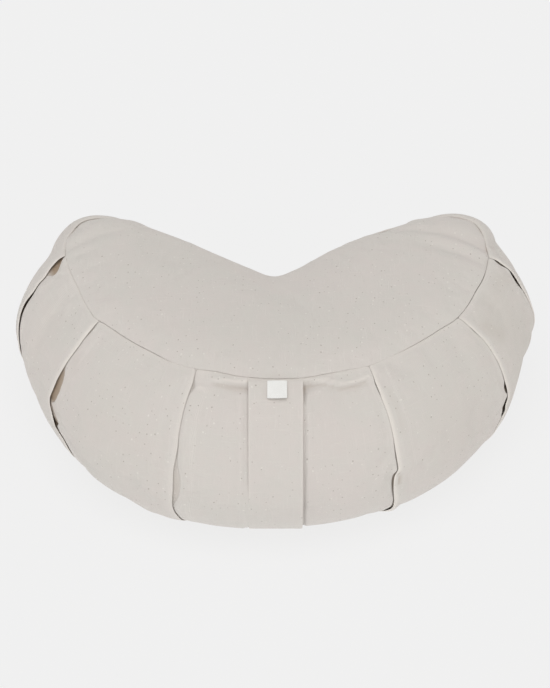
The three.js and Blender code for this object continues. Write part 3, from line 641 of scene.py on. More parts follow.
def pleat_row(pleat, row, v):
    """The values that a row of a pleat gives at height v."""
    at, *values = np.array(pleat[row]).T
    return [np.interp(v, at, value) for value in values]


def pleat_shift(pleat, v):
    """How far a fold edge has run from its head, at height v."""
    eased = sum(share * pleat_row(pleat, "fold", v + step)[0] for share, step in FOLD_EASE)
    return pleat["side"] * (eased - pleat["head"]) * MM


def pleat_open(v):
    """1 where a pleat stands free, falling where the seams hold it flat."""
    held = smooth_step(v / SEWN_SHARE) * smooth_step((1 - v) / SEWN_SHARE)
    return SEWN_FLAT + (1 - SEWN_FLAT) * held


def pleat_gape(pleat, v):
    """How wide and how deep a pleat stands open at height v."""
    wide, deep = pleat_row(pleat, "gape", v)
    return wide * MM, deep * MM


def pleat_rise(pleat, v):
    """How far the upper cloth of a pleat stands over the lower."""
    return pleat_row(pleat, "rise", v)[0] * MM * pleat_open(v)


def band_columns():
    """Columns round the band in the cloth's own order, each with its place on the seam, its pleat, its
    place across the pleat and its order: plain ones, close ones by the strap, and a set at each pleat."""
    heads = [(pleat, pleat["head"] * MM, pleat["side"]) for pleat in PLEATS]
    count = int(round(2 * SEAM_HALF / COLUMN_STEP))
    columns = []
    for s in np.linspace(-SEAM_HALF, SEAM_HALF, count, endpoint=False):
        clear = all(not -FOLD_REACH - 1.8 * MM < s * side - head < FOLD_REACH + 1 * MM
                    for _, head, side in heads)
        if clear and abs(abs(s) - STRAP_EDGE) > STRAP_CLEAR:
            columns.append((s, None, 0, s))
    for s in STRAP_EDGE + STRAP_COLUMNS:
        columns += [(s, None, 0, s), (-s, None, 0, -s)]
    for pleat, head, side in heads:
        for k, across in enumerate(np.linspace(-FOLD_REACH, FOLD_REACH, len(FOLD))):
            columns.append((side * head, pleat, k, side * (head + across)))
    return sorted(columns, key=lambda column: column[3])


def band_rows():
    """Heights of the rows, close together at the seams."""
    low = np.array([0, .006, .014, .026, .042, .062, .084, .108])
    middle = np.r_[np.linspace(.13, .34, 10, endpoint=False), np.linspace(.34, .56, 22, endpoint=False),
                   np.linspace(.56, .88, 17)]
    high = 1 - np.array([.108, .098, .086, .074, .063, .053, .044, .036, .029, .022, .015, .009, .0045, 0])
    return np.r_[low, middle, high]


def place_column(column, v):
    """Distance along the seam and lift off the plain band, for one column at heights v."""
    s, pleat, k, _ = column
    if pleat is not None:
        share, past, deep_share, rise_share, _ = FOLD[k]
        wide, deep = pleat_gape(pleat, v)
        rise = pleat_rise(pleat, v)
        shut = 1 - smooth_step((wide - 0.2 * MM) / (0.5 * MM))
        lift = ((deep_share + TILT.get(k, 0) * pleat_row(pleat, "tilt", v)[0]) * deep
                + (rise_share + pleat["snug"] * SNUG.get(k, 0) * shut) * rise)
        return s + pleat_shift(pleat, v) + pleat["side"] * (share * wide + past * MM), lift
    straight = 1 - smooth_step((abs(s) - STRAP_EDGE - STRAP_CLEAR) / STRAP_BLEND)
    shift = -s * upright_squeeze(v) * straight
    lift = np.zeros_like(v)
    for other in PLEATS:
        past = s * other["side"] - other["head"] * MM
        beside = 1 - smooth_step((abs(past) - FOLD_REACH) / SHIFT_REACH)
        shift = shift + (1 - straight) * beside * pleat_shift(other, v)
        if past > 0:
            fade = 1 - smooth_step((past - FOLD_REACH) / FOLD_FADE)
            lift = lift + BESIDE_PLEAT * pleat_rise(other, v) * fade
    return s + shift, lift


def groove_share(s):
    """How much of the full stitch groove the top seam shows at s, at most 1."""
    return np.minimum(by_side(s, GROOVE_AT, GROOVE_LEFT, GROOVE_RIGHT), 1)


def slot_share(s):
    """1 where the top seam stands open at the back of the left tip, 0 elsewhere."""
    start, end, _ = SEAM_SLOT
    return smooth_step((s - start) / (6 * MM)) * smooth_step((end - s) / (6 * MM))


def tuck_rows(sizes, s, top):
    """The seam allowance beyond a seam: rows turned in under the panel, falling away where it is open."""
    point, out_way, lift = top_seam_at(s) if top else (*seam_at(s), 0)
    steep = np.maximum(slot_share(s), groove_share(s)) if top else np.zeros(len(s))
    rows = []
    for faint, full in zip(TUCK_FAINT, TUCK_FULL):
        inset, drop = (MM * (a + (b - a) * steep) for a, b in zip(faint, full))
        z = sizes.top_seam + lift - sizes.seam_sink - drop if top else sizes.bottom_seam + drop
        rows.append(np.c_[point - out_way * inset[:, None], z])
    return rows


def boundary_loops(mesh):
    """The open edges of a mesh, as ordered loops of points."""
    used = {}
    for polygon in mesh.polygons:
        for key in polygon.edge_keys:
            used[key] = used.get(key, 0) + 1
    follow = {}
    for (a, b), times in used.items():
        if times == 1:
            follow.setdefault(a, []).append(b)
            follow.setdefault(b, []).append(a)
    loops = []
    while follow:
        first = next(iter(follow))
        loop, here, last = [first], follow[first][0], first
        while here != first:
            loop.append(here)
            ahead = [n for n in follow[here] if n != last][0]
            last, here = here, ahead
        for index in loop:
            del follow[index]
        loops.append(loop)
    return loops


def close_ends(obj):
    """Closes both ends of the band with flat faces under the panels, facing out."""
    mesh = obj.data
    points = coordinates(mesh)
    faces = [tuple(p.vertices) for p in mesh.polygons]
    for loop in boundary_loops(mesh):
        top = points[loop][:, 2].mean() > 0.05
        flat = [Vector((points[i][0], points[i][1], 0)) for i in loop]
        for corners in geometry.tessellate_polygon([flat]):
            a, b, c = (loop[i] for i in corners)
            up = np.cross(points[b] - points[a], points[c] - points[a])[2] > 0
            faces.append((a, b, c) if up == top else (a, c, b))
    weave = np.empty(len(mesh.vertices) * 3, np.float32)
    mesh.attributes["weave"].data.foreach_get("vector", weave)
    wear_and_painted_light = np.empty(len(mesh.vertices), np.float32)
    mesh.attributes["wear_and_painted_light"].data.foreach_get("value", wear_and_painted_light)
    name = obj.name
    bpy.data.objects.remove(obj)
    bpy.data.meshes.remove(mesh)
    return new_mesh_object(name, points, faces, weave, wear_and_painted_light)


def band_grid(sizes, columns, rows):
    """Points of the band's cloth, row by column, and how much painted shade (above 0) and painted highlight
    (below 0) each gets.
    """
    grid = np.empty((len(rows), len(columns), 3))
    painted_light_lines = np.empty(grid.shape[:2])
    for i, column in enumerate(columns):
        s, lift = place_column(column, rows)
        s = (s + SEAM_HALF) % (2 * SEAM_HALF) - SEAM_HALF
        lift = lift - band_creases(s, rows)
        painted_light_lines[:, i] = line_field(s, rows, BAND_PAINTED_LIGHT, 1)
        grid[:, i] = band_surface(sizes, s, rows) + band_normal(sizes, s, rows) * lift[:, None]
    return grid, painted_light_lines


def band_rub_and_painted_light(columns, rows, painted_light_lines):
    """Where the band's cloth is painted paler (above 0), as rubbed wear and painted highlight, or darker with
    painted shade (below 0).
    """
    # Paler along the top seam, partly rubbed wear and partly painted highlight, then the painted shade and
    # highlight of the lines
    wear_and_painted_light = 0.5 * np.exp(-(1 - rows) / 0.006)[:, None] - painted_light_lines
    for i, (_, pleat, k, _) in enumerate(columns):
        share = FOLD[k][4] if pleat else 0
        if share > 0:
            wear_and_painted_light[:, i] += share * pleat["edge_rub_and_highlight"] * pleat_open(rows)
        elif share < 0:
            deep = pleat_gape(pleat, rows)[1]
            wear_and_painted_light[:, i] += share * pleat["painted_inside_shade"] * np.clip(deep / PAINTED_SHADE_DEPTH, 0, 1)
    return wear_and_painted_light


def band_weave(points, order):
    """Cloth coordinates: along the folded cloth at its middle, and up it at the front."""
    middle, front = points[len(points) // 2], points[:, int(np.argmin(np.abs(order)))]
    run, climb = (np.r_[0, np.cumsum(np.linalg.norm(np.diff(line, axis=0), axis=1))]
                  for line in (middle, front))
    return np.stack(np.broadcast_arrays(run[None, :], climb[:, None], 0.0), -1)


def band_held(columns, order, height, tucked):
    """How firmly the simulation holds each point: seams, folds and the cloth under the strap."""
    held = np.zeros((height, len(columns)))
    held[:tucked + 1] = held[-tucked - 1:] = 1
    held[tucked + 1] = held[-tucked - 2] = 0.6
    held[:, [i for i, (_, pleat, k, _) in enumerate(columns) if pleat and k in FOLD_PINNED]] = 1
    held[:, np.abs(order) < STRAP_EDGE + 2 * MM] = 1
    return held


def make_band(sizes):
    """The pleated band with the filling it holds, as one closed crowned form."""
    columns, rows = band_columns(), band_rows()
    order = np.array([column[3] for column in columns])
    grid, painted_light_lines = band_grid(sizes, columns, rows)
    top, bottom = tuck_rows(sizes, order, True), tuck_rows(sizes, order, False)
    points = np.stack([*reversed(bottom), *grid, *top])
    height, width = points.shape[:2]
    tucked = len(top)
    wear_and_painted_light = np.zeros((height, width))
    wear_and_painted_light[tucked:-tucked] = band_rub_and_painted_light(columns, rows, painted_light_lines)
    # The seam allowance down in the groove gets painted shade
    wear_and_painted_light[1 - tucked:] = -groove_share(order)
    band = new_mesh_object("pleated_band", points.reshape(-1, 3), ring_faces(height, width),
                           band_weave(points, order), wear_and_painted_light)
    held = band_held(columns, order, height, tucked)
    settle_cloth(band, held.ravel(), pressure=1.5, slack=0.012, cap=1.6 * MM)
    refine(band)
    return close_ends(band)


# Panels

def panel_edge(top):
    """The edge of a panel in plan, lapping over the groove and drawn in where the seam stands open."""
    count = int(round(2 * SEAM_HALF / PANEL_STEP))
    s = np.linspace(-SEAM_HALF, SEAM_HALF, count, endpoint=False)
    point, out_way = top_seam_at(s)[:2] if top else seam_at(s)
    inset = np.full(count, -PANEL_LAP)
    if top:
        deepest = by_side(s, GROOVE_AT, GROOVE_LEFT, GROOVE_RIGHT)
        inset = inset * groove_share(s) + 2 * MM * np.maximum(deepest - 1, 0) + SEAM_SLOT[2] * slot_share(s)
    return point - out_way * inset[:, None]


def inside(edge, spots):
    """Which spots in plan lie inside a closed edge."""
    within = np.zeros(len(spots), bool)
    for (ax, ay), (bx, by) in zip(edge, np.roll(edge, -1, 0)):
        if ay != by:
            spans = (ay > spots[:, 1]) != (by > spots[:, 1])
            within ^= spans & (spots[:, 0] < ax + (spots[:, 1] - ay) * (bx - ax) / (by - ay))
    return within


def panel_grid(edge):
    """Points and triangles of a crescent panel in plan, its edge first."""
    count = len(edge)
    low, high = edge.min(0), edge.max(0)
    inner = np.array([(x, y) for k, y in enumerate(np.arange(low[1], high[1], PANEL_STEP * 0.866))
                      for x in np.arange(low[0] + (k % 2) * PANEL_STEP / 2, high[0], PANEL_STEP)])
    inner = inner[inside(edge, inner) & (apart(inner, edge).min(1) > 0.62 * PANEL_STEP)]
    ring = [(i, (i + 1) % count) for i in range(count)]
    made, _, triangles, *_ = geometry.delaunay_2d_cdt(
        [Vector(p) for p in np.vstack([edge, inner])], ring, [list(range(count))], 1, 1e-7)
    return np.array([tuple(p) for p in made]), [tuple(t) for t in triangles]


def depth_in(plan, top):
    """A smooth measure of how far each point lies in from the seam, largest along the middle."""
    s = np.linspace(0, SEAM_HALF, 500)
    front_end = FRONT_HALF_WIDTH * math.pi / 2
    tip_end = front_end + 90 * MM
    front = s[s < front_end]
    stretches = [np.r_[-front[::-1], front]]
    for side in (-1, 1):
        stretches += [side * s[(s >= front_end) & (s < tip_end)], side * s[s >= tip_end]]
    total = np.zeros(len(plan))
    for stretch in stretches:
        point = top_seam_at(stretch)[0] if top else seam_at(stretch)[0]
        total += np.maximum(apart(plan, point).min(1), 1e-5) ** -3.0
    return total ** (-1 / 3)


def crown_height(sizes, plan, depth):
    """Height of the top panel over its seam plane, with its soft creases."""
    share = np.clip(depth / CROWN_REACH, 0, 1)
    z = sizes.crown * (1 - (1 - share) ** 2.2) ** 0.75
    for start, end, deep, wide in TOP_CREASES:
        t, away = beside_run(plan, np.array(start) * MM, np.array(end) * MM)
        ends = np.sin(math.pi * np.clip(0.12 + 0.8 * t, 0, 1)) ** 0.5
        z -= deep * MM * ends * np.exp(-(away / (wide * MM)) ** 2)
    return z


def seam_height(sizes, plan, depth):
    """How far the lift, the ripple and the groove of the top seam carry into the panel."""
    s = np.linspace(-SEAM_HALF, SEAM_HALF, 600, endpoint=False)
    point, _, lift = top_seam_at(s)
    gap = apart(plan, point) + 1 * MM
    weight = gap ** -3.0
    carried = (weight * lift).sum(1) / weight.sum(1)
    nearest = s[gap.argmin(1)]
    groove = sizes.seam_sink * by_side(nearest, GROOVE_AT, GROOVE_LEFT, GROOVE_RIGHT)
    return carried + pucker(nearest) * np.exp(-depth / (8 * MM)) - groove * np.exp(-depth / (1.7 * MM))


def make_panel(sizes, top):
    """A crescent of canvas stretched over the filling from seam to seam."""
    edge = panel_edge(top)
    plan, faces = panel_grid(edge)
    depth = depth_in(plan, top)
    if top:
        z = sizes.top_seam + crown_height(sizes, plan, depth) + seam_height(sizes, plan, depth)
    else:
        z = sizes.bottom_seam * (1 - smooth_step(depth / (14 * MM))) + 0.05 * MM
    panel = new_mesh_object("top_panel_cloth" if top else "bottom_panel_cloth", np.c_[plan, z], faces,
                            np.c_[plan, np.zeros(len(plan))])
    if (np.mean([p.normal.z for p in panel.data.polygons]) > 0) != top:
        panel.data.flip_normals()
    if top:
        held = np.where(depth < 1.5 * MM, 1.0, np.where(depth < 6 * MM, 0.5, 0.02))
        held[:len(edge)] = 1
        settle_cloth(panel, held, pressure=0.8, slack=0.008, cap=1.5 * MM)
    refine(panel)
    thicken(panel, sizes.panel_thickness)
    panel.data.set_sharp_from_angle(angle=math.radians(50))
    return panel


# Strap and label

def front_line(sizes):
    """The middle line down the front of the band, with its outward direction, by length."""
    v = np.linspace(0.997, 0.01, 400)
    s = np.zeros_like(v)
    points = band_surface(sizes, s, v)
    normals = band_normal(sizes, s, v)
    along = np.r_[0, np.cumsum(np.linalg.norm(np.diff(points, axis=0), axis=1))]
    return points[:, 1:], normals[:, 1:], along


def ribbon(name, centre, lengths, lift, section, line):
    """A cloth ribbon down the front: section gives the outline of its edge as (side, depth)."""
    points, weave, wear_and_painted_light = [], [], []
    half = max(x for x, _ in section) - 0.8 * MM
    for length in lengths:
        y, z, out_y, out_z = (np.interp(length, line[2], side[:, k]) for side in line[:2] for k in (0, 1))
        for x, deep in section:
            out = lift(x, length) + deep
            points.append((centre + x, y + out_y * out, z + out_z * out))
            weave.append((x, length, deep))
            # Paler along the rolled edges: partly rubbed wear, partly painted highlight
            wear_and_painted_light.append(0.25 * math.exp(-((abs(x) - half) / (1.1 * MM)) ** 2))
    count = len(section)
    faces = [tuple(reversed(face)) for face in ring_faces(len(lengths), count)]
    last = (len(lengths) - 1) * count
    faces += [tuple(range(count)), tuple(last + i for i in reversed(range(count)))]
    return new_mesh_object(name, points, faces, weave, wear_and_painted_light)


def strap_section(width, thickness, columns):
    """Outline of a folded strap's end: flat faces with softly rolled edges."""
    half = width / 2
    inner = [(x, 0.0) for x in np.linspace(half - thickness / 2, -half + thickness / 2, columns)]
    turn = np.linspace(-math.pi / 2, math.pi / 2, 7)[1:-1]
    left = [(-half + thickness / 2 - math.cos(t) * thickness / 2, thickness / 2 + math.sin(t) * thickness / 2)
            for t in turn]
    outer = [(-x, thickness) for x, _ in inner]
    right = [(-x, deep) for x, deep in reversed(left)]
    return inner + left + outer + right


def strap_lift(sizes, line, x, length):
    """How far the strap's back stands off the band."""
    share = length / line[2][-1]
    side = smooth_step(x / (sizes.strap_width / 2))
    slack = STRAP_SLACK * side * smooth_step(share * 3 - 0.6) * smooth_step((0.86 - share) * 4)
    shoulder = STRAP_SHOULDER * side * math.exp(-((share - 0.07) / 0.04) ** 2)
    ripple = (waves(length, (38 * MM, 23 * MM), 3) * 0.25 + waves(length + x, (13 * MM,), 4) * 0.08) * MM
    return STRAP_OFF + slack + shoulder + ripple * math.sin(math.pi * min(max(share, 0), 1))


def make_strap(sizes):
    """The carry strap, folded canvas sewn into both seams at the front, and its length."""
    line = front_line(sizes)
    end = line[2][-1]
    lengths = np.r_[0.4 * MM, 0.55 * MM, np.linspace(1.2 * MM, end - 0.8 * MM, 78), end - 0.15 * MM, end]
    section = strap_section(sizes.strap_width, sizes.strap_thickness, 22)
    strap = ribbon("canvas_strap", PLAN_ORIGIN[0] + STRAP_ASIDE, lengths,
                   lambda x, length: strap_lift(sizes, line, x, length), section, line)
    refine(strap)
    return strap, end


def make_label(sizes):
    """The folded woven label caught in the top seam, bare."""
    line = front_line(sizes)
    end = sizes.tab_length + LABEL_HEAD
    lengths = np.linspace(LABEL_HEAD, end, 20)
    section = strap_section(sizes.tab_width, LABEL_THICKNESS, 12)
    base = strap_lift(sizes, line, 0, 0) + sizes.strap_thickness + LABEL_OFF

    def lift(x, length):
        corner = LABEL_CORNER * smooth_step(0.5 + x / sizes.tab_width)
        return base + (LABEL_CURL + corner) * (length / end) ** 2

    label = ribbon("woven_label", PLAN_ORIGIN[0] + LABEL_ASIDE, lengths, lift, section, line)
    refine(label)
    return label


# Materials

def feed(tree, made, inputs):
    """Gives inputs of a node, by name or number, another node's output or a fixed value."""
    for key, value in inputs.items():
        if isinstance(value, bpy.types.NodeSocket):
            tree.links.new(value, made.inputs[key])
        else:
            made.inputs[key].default_value = value


def node(tree, kind, inputs=None, **settings):
    """A node with its settings made and its inputs fed."""
    made = tree.nodes.new(kind)
    for key, value in settings.items():
        setattr(made, key, value)
    feed(tree, made, inputs or {})
    return made


def maths(tree, operation, *values, clamp=False):
    """A Math node, with sockets or plain numbers as its inputs."""
    made = node(tree, "ShaderNodeMath", dict(enumerate(values)), operation=operation, use_clamp=clamp)
    return made.outputs[0]


def scaled(tree, vector, scale):
    """A vector times three numbers."""
    return node(tree, "ShaderNodeVectorMath", {0: vector, 1: scale}, operation="MULTIPLY").outputs[0]


def noise(tree, vector, scale, detail=2.0, roughness=0.5):
    """Cloudy noise between 0 and 1."""
    inputs = {"Vector": vector, "Scale": scale, "Detail": detail, "Roughness": roughness}
    return node(tree, "ShaderNodeTexNoise", inputs).outputs["Fac"]


def ramp(tree, value, low, high):
    """0 below low and 1 above high, smooth between."""
    inputs = {"Value": value, "From Min": low, "From Max": high}
    return node(tree, "ShaderNodeMapRange", inputs, interpolation_type="SMOOTHSTEP").outputs["Result"]


def blend_colour(tree, factor, a, b):
    """Mixes two colours, each a socket or three numbers."""
    a, b = (value if isinstance(value, bpy.types.NodeSocket) else (*value, 1) for value in (a, b))
    return node(tree, "ShaderNodeMix", {"Factor": factor, 6: a, 7: b}, data_type="RGBA").outputs[2]


def new_material(name):
    """A material with its node tree and its shader."""
    material = bpy.data.materials.new(name)
    material.use_nodes = True
    return material, material.node_tree, material.node_tree.nodes["Principled BSDF"]


def raise_threads(tree, shader, height, strength, distance):
    """Feeds the relief of the threads to the shader."""
    bump = node(tree, "ShaderNodeBump", {"Strength": strength, "Distance": distance, "Height": height})
    feed(tree, shader, {"Normal": bump.outputs[0]})


def weave_threads(group, cloth, threads):
    """Height of a plain weave, over one thread and under the next."""
    sway = noise(group, cloth, 90, 1)
    parts = node(group, "ShaderNodeSeparateXYZ", {0: cloth})
    runs = [maths(group, "MULTIPLY_ADD", parts.outputs[k], threads, maths(group, "MULTIPLY", sway, bend))
            for k, bend in enumerate((1.4, 1.1))]
    arches = [maths(group, "SINE", maths(group, "MULTIPLY", maths(group, "FRACT", run), math.pi))
              for run in runs]
    crossings = maths(group, "ADD", *(maths(group, "FLOOR", run) for run in runs))
    warp, weft = (maths(group, "MULTIPLY", maths(group, "POWER", arch, 0.6),
                        maths(group, "MULTIPLY_ADD", other, 0.35, 0.65))
                  for arch, other in (arches, arches[::-1]))
    over = {"Factor": maths(group, "FLOORED_MODULO", crossings, 2), "A": warp, "B": weft}
    return node(group, "ShaderNodeMix", over, data_type="FLOAT").outputs[0]


def weave_group():
    """Plain canvas weave with slubs, seed flecks and pale nubs, from cloth coordinates in metres."""
    group = bpy.data.node_groups.new("plain_canvas", "ShaderNodeTree")
    group.interface.new_socket("Cloth", in_out="INPUT", socket_type="NodeSocketVector")
    threads = group.interface.new_socket("Threads", in_out="INPUT", socket_type="NodeSocketFloat")
    threads.default_value = THREADS
    for name in ("Height", "Flecks", "Nubs", "Tone", "Yarn"):
        group.interface.new_socket(name, in_out="OUTPUT", socket_type="NodeSocketFloat")
    given = node(group, "NodeGroupInput")
    cloth = given.outputs["Cloth"]
    weave = weave_threads(group, cloth, given.outputs["Threads"])
    slub_warp = ramp(group, noise(group, scaled(group, cloth, (1.0, 0.07, 1.0)), 620, 2), 0.56, 0.74)
    slub_weft = ramp(group, noise(group, scaled(group, cloth, (0.06, 1.0, 1.0)), 560, 2), 0.57, 0.76)
    slubs = maths(group, "MAXIMUM", slub_warp, slub_weft)
    broad = maths(group, "MULTIPLY", noise(group, cloth, 9, 3, 0.55), 0.55)
    tone = maths(group, "MULTIPLY_ADD", noise(group, cloth, 55, 3, 0.6), 0.45, broad)
    shown = {
        "Height": maths(group, "MULTIPLY_ADD", slubs, 0.7, weave),
        "Yarn": maths(group, "MULTIPLY_ADD", slubs, 0.22, maths(group, "MULTIPLY", weave, 0.6)),
        "Tone": ramp(group, tone, 0.34, 0.66),
    }
    # Seeds and nubs: round cells, bent a little out of round, of which some are kept, in patches
    stray = node(group, "ShaderNodeTexNoise", {"Vector": cloth, "Scale": 700})
    bent = node(group, "ShaderNodeVectorMath", {0: stray.outputs["Color"], 1: (0.0011, 0.0011, 0), 2: cloth},
                operation="MULTIPLY_ADD")
    patches = ramp(group, noise(group, cloth, 36, 1), 0.4, 0.56)
    for name, scale, small, large, keep in (("Flecks", 125, .035, .11, .42), ("Nubs", 104, .04, .125, .42)):
        cells = node(group, "ShaderNodeTexVoronoi", {"Vector": bent.outputs[0], "Scale": scale},
                     voronoi_dimensions="2D")
        tint = node(group, "ShaderNodeSeparateColor", {0: cells.outputs["Color"]})
        size = maths(group, "MULTIPLY_ADD", tint.outputs[0], large - small, small)
        away = maths(group, "DIVIDE", cells.outputs["Distance"], size)
        near = maths(group, "SUBTRACT", 1.0, away, clamp=True)
        kept = maths(group, "GREATER_THAN", tint.outputs[1], keep)
        spots = maths(group, "MULTIPLY", ramp(group, near, 0.0, 0.55), kept)
        shown[name] = maths(group, "MULTIPLY", spots, patches)
    node(group, "NodeGroupOutput", shown)
    return group


def shared_weave():
    """The weave that all pieces of canvas use, made once."""
    return bpy.data.node_groups.get("plain_canvas") or weave_group()


def canvas_material(name, colours, shade=1.0, threads=THREADS):
    """Natural canvas: two close tones, painted shade between the threads, flecks and pale nubs, paler where
    rubbed and painted highlit, and painted shade inside folds.
    """
    material, tree, shader = new_material(name)
    cloth, wear_and_painted_light = (node(tree, "ShaderNodeAttribute", attribute_name=kind) for kind in ("weave", "wear_and_painted_light"))
    weave = node(tree, "ShaderNodeGroup", {"Cloth": cloth.outputs["Vector"], "Threads": threads},
                 node_tree=shared_weave()).outputs
    warm, cool = ([c * shade for c in tone] for tone in (colours.canvas_warm, colours.canvas_cool))
    ground = blend_colour(tree, weave["Tone"], warm, cool)
    # Painted shade between the threads
    thread_gap_shade = blend_colour(tree, 0.16, ground, THREAD_SHADE)
    shown = blend_colour(tree, ramp(tree, weave["Yarn"], 0.1, 0.5), thread_gap_shade, ground)
    # Paler along rubbed edges, partly wear and partly painted highlight, and painted shade inside folds,
    # creases and the seam groove; then the flecks and nubs of the cloth itself
    for source, strength, colour in (
            (wear_and_painted_light.outputs["Fac"], 0.58, colours.rubbed_and_highlit), (wear_and_painted_light.outputs["Fac"], -0.8, colours.inside),
            (weave["Nubs"], 0.55, colours.nub), (weave["Flecks"], 0.55, colours.fleck)):
        shown = blend_colour(tree, maths(tree, "MULTIPLY", source, strength, clamp=True), shown, colour)
    feed(tree, shader, {
        "Base Color": shown, "Roughness": maths(tree, "MULTIPLY_ADD", weave["Height"], -0.08, 0.95),
        "Specular IOR Level": 0.2, "Sheen Weight": 0.12, "Sheen Roughness": 0.6})
    raised = maths(tree, "MULTIPLY_ADD", weave["Nubs"], 0.8, weave["Height"])
    raise_threads(tree, shader, raised, 0.7, CANVAS_RELIEF)
    return material


def label_material(colours):
    """Smooth white woven tape with a fine rib."""
    material, tree, shader = new_material("label_tape")
    cloth = node(tree, "ShaderNodeAttribute", attribute_name="weave").outputs["Vector"]
    parts = node(tree, "ShaderNodeSeparateXYZ", {0: cloth})
    ribs = maths(tree, "SINE", maths(tree, "MULTIPLY", parts.outputs[1], 2 * math.pi * 2600))
    ends = maths(tree, "SINE", maths(tree, "MULTIPLY", parts.outputs[0], 2 * math.pi * 3400))
    thread = maths(tree, "MULTIPLY_ADD", ribs, 0.5, maths(tree, "MULTIPLY_ADD", ends, 0.25, 0.5))
    soil = noise(tree, cloth, 160, 3)
    tint = blend_colour(tree, maths(tree, "MULTIPLY", soil, 0.35), colours.label, (.66, .65, .62))
    feed(tree, shader, {
        "Base Color": blend_colour(tree, ramp(tree, thread, -0.2, 0.6), (.6, .6, .58), tint),
        "Roughness": maths(tree, "MULTIPLY_ADD", soil, 0.2, 0.55), "Sheen Weight": 0.1})
    raise_threads(tree, shader, thread, 0.5, 0.08 * MM)
    return material


# Operators

class CUSHION_OT_band(bpy.types.Operator):
    """Make the pleated band with its filling"""

    bl_idname = "cushion.band"
    bl_label = "Pleated band"

    def execute(self, context):
        sizes, colours = context.scene.cushion_sizes, context.scene.cushion_colours
        band = make_band(sizes)
        band.data.materials.append(canvas_material("band_canvas", colours))
        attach(band, "root")
        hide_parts("cushion_body")
        return {"FINISHED"}


class CUSHION_OT_panels(bpy.types.Operator):
    """Make the top and the bottom panel"""

    bl_idname = "cushion.panels"
    bl_label = "Top and bottom panels"

    def execute(self, context):
        sizes, colours = context.scene.cushion_sizes, context.scene.cushion_colours
        for top, replaced in ((True, "top_panel"), (False, "bottom_panel")):
            panel = make_panel(sizes, top)
            panel.data.materials.append(canvas_material(replaced + "_canvas", colours))
            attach(panel, "root")
            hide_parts(replaced)
        return {"FINISHED"}


class CUSHION_OT_strap(bpy.types.Operator):
    """Make the carry strap"""

    bl_idname = "cushion.strap"
    bl_label = "Carry strap"

    def execute(self, context):
        sizes, colours = context.scene.cushion_sizes, context.scene.cushion_colours
        strap, length = make_strap(sizes)
        strap.data.materials.append(
            canvas_material("strap_canvas", colours, shade=1.01, threads=STRAP_THREADS))
        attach(strap, "root")
        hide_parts("carry_strap")
        return {"FINISHED"}


class CUSHION_OT_label(bpy.types.Operator):
    """Make the bare woven label"""

    bl_idname = "cushion.label"
    bl_label = "Woven label"

    def execute(self, context):
        sizes, colours = context.scene.cushion_sizes, context.scene.cushion_colours
        label = make_label(sizes)
        label.data.materials.append(label_material(colours))
        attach(label, "root")
        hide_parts("label_tab")
        return {"FINISHED"}


class CUSHION_OT_stage(bpy.types.Operator):
    """Make the pale floor, the soft light and the camera"""

    bl_idname = "cushion.stage"
    bl_label = "Floor, light and camera"

    def execute(self, context):
        make_floor(context.scene.cushion_colours)
        make_lights()
        make_camera()
        return {"FINISHED"}


def make_floor(colours):
    """A plain pale floor that glows evenly, and throws more light on the cushion than it shows."""
    half = 8.0
    floor = new_mesh_object("floor", [(-half, -half, 0), (half, -half, 0), (half, half, 0), (-half, half, 0)],
                            [(0, 1, 2, 3)])
    material, tree, shader = new_material("floor_paper")
    seen = node(tree, "ShaderNodeLightPath").outputs["Is Camera Ray"]
    feed(tree, shader, {
        "Base Color": (*colours.floor, 1), "Roughness": 1.0, "Specular IOR Level": 0.0,
        "Emission Color": (1, 1, 1, 1),
        "Emission Strength": maths(tree, "MULTIPLY_ADD", seen, FLOOR_GLOW - FLOOR_BOUNCE, FLOOR_BOUNCE)})
    floor.data.materials.append(material)


def soft_sun(name, azimuth, elevation, spread, strength, colour):
    """A far, broad light."""
    light = bpy.data.lights.new(name, "SUN")
    light.color = colour
    light.angle = math.radians(spread)
    light.energy = strength
    obj = bpy.data.objects.new(name, light)
    a, e = math.radians(azimuth), math.radians(elevation)
    toward = Vector((math.sin(a) * math.cos(e), -math.cos(a) * math.cos(e), math.sin(e)))
    obj.location = toward * 3
    obj.rotation_euler = toward.to_track_quat("Z", "Y").to_euler()
    bpy.context.scene.collection.objects.link(obj)


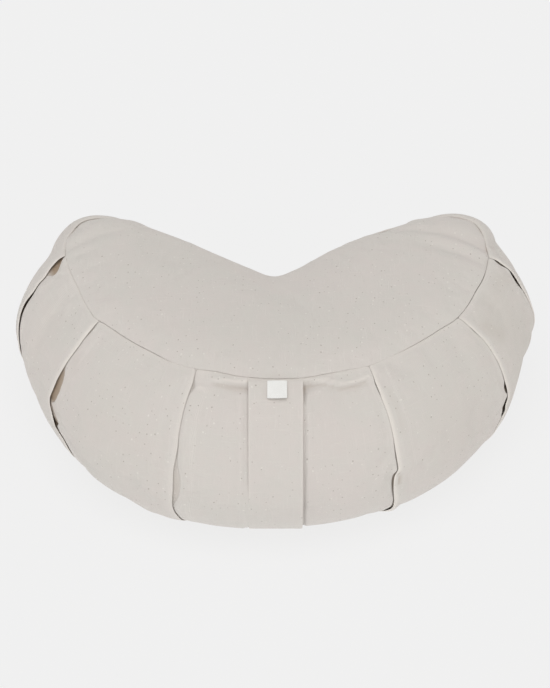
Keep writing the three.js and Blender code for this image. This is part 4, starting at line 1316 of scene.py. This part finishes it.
def make_lights():
    """Broad studio light from the camera's side, and an even pale surround."""
    world = bpy.data.worlds.new("studio")
    world.use_nodes = True
    feed(world.node_tree, world.node_tree.nodes["Background"], {"Color": (1, 1, 1, 1), "Strength": SURROUND})
    bpy.context.scene.world = world
    for name, sun in SUNS.items():
        soft_sun(name, *sun)
    view = bpy.context.scene.view_settings
    view.view_transform = "Standard"
    view.look = "None"


def make_camera():
    """The camera at the photograph's angle."""
    data = bpy.data.cameras.new("camera")
    data.sensor_width = 36
    data.lens = PIXELS_PER_METRE * CAMERA_DISTANCE / LONG_SIDE_PIXELS * data.sensor_width
    data.clip_start, data.clip_end = 0.05, 60
    camera = bpy.data.objects.new("camera", data)
    aim = Vector((*PLAN_ORIGIN, 0)) + Vector(CAMERA_AIM)
    back = Vector((0, -math.cos(CAMERA_ELEVATION), math.sin(CAMERA_ELEVATION)))
    camera.location = aim + back * CAMERA_DISTANCE
    camera.rotation_euler = (-back).to_track_quat("-Z", "Y").to_euler()
    bpy.context.scene.collection.objects.link(camera)
    bpy.context.scene.camera = camera


class CUSHION_PT_panel(bpy.types.Panel):
    """Sizes, colours and pieces of the cushion"""

    bl_idname = "CUSHION_PT_panel"
    bl_label = "Crescent cushion"
    bl_space_type = "VIEW_3D"
    bl_region_type = "UI"
    bl_category = "Cushion"

    def draw(self, context):
        layout = self.layout
        for group in (context.scene.cushion_sizes, context.scene.cushion_colours):
            box = layout.box()
            for name in group.__annotations__:
                box.prop(group, name)
        for operator in PIECES:
            layout.operator(operator.bl_idname)


PIECES = (CUSHION_OT_stage, CUSHION_OT_band, CUSHION_OT_panels, CUSHION_OT_strap, CUSHION_OT_label)
CLASSES = (CushionSizes, ClothColours, *PIECES, CUSHION_PT_panel)


def register():
    for cls in CLASSES:
        bpy.utils.register_class(cls)
    bpy.types.Scene.cushion_sizes = bpy.props.PointerProperty(type=CushionSizes)
    bpy.types.Scene.cushion_colours = bpy.props.PointerProperty(type=ClothColours)


def unregister():
    del bpy.types.Scene.cushion_colours
    del bpy.types.Scene.cushion_sizes
    for cls in reversed(CLASSES):
        bpy.utils.unregister_class(cls)


def main():
    register()
    bpy.ops.cushion.stage()
    bpy.ops.cushion.band()
    bpy.ops.cushion.panels()
    bpy.ops.cushion.strap()
    bpy.ops.cushion.label()


if __name__ == "__main__":
    main()
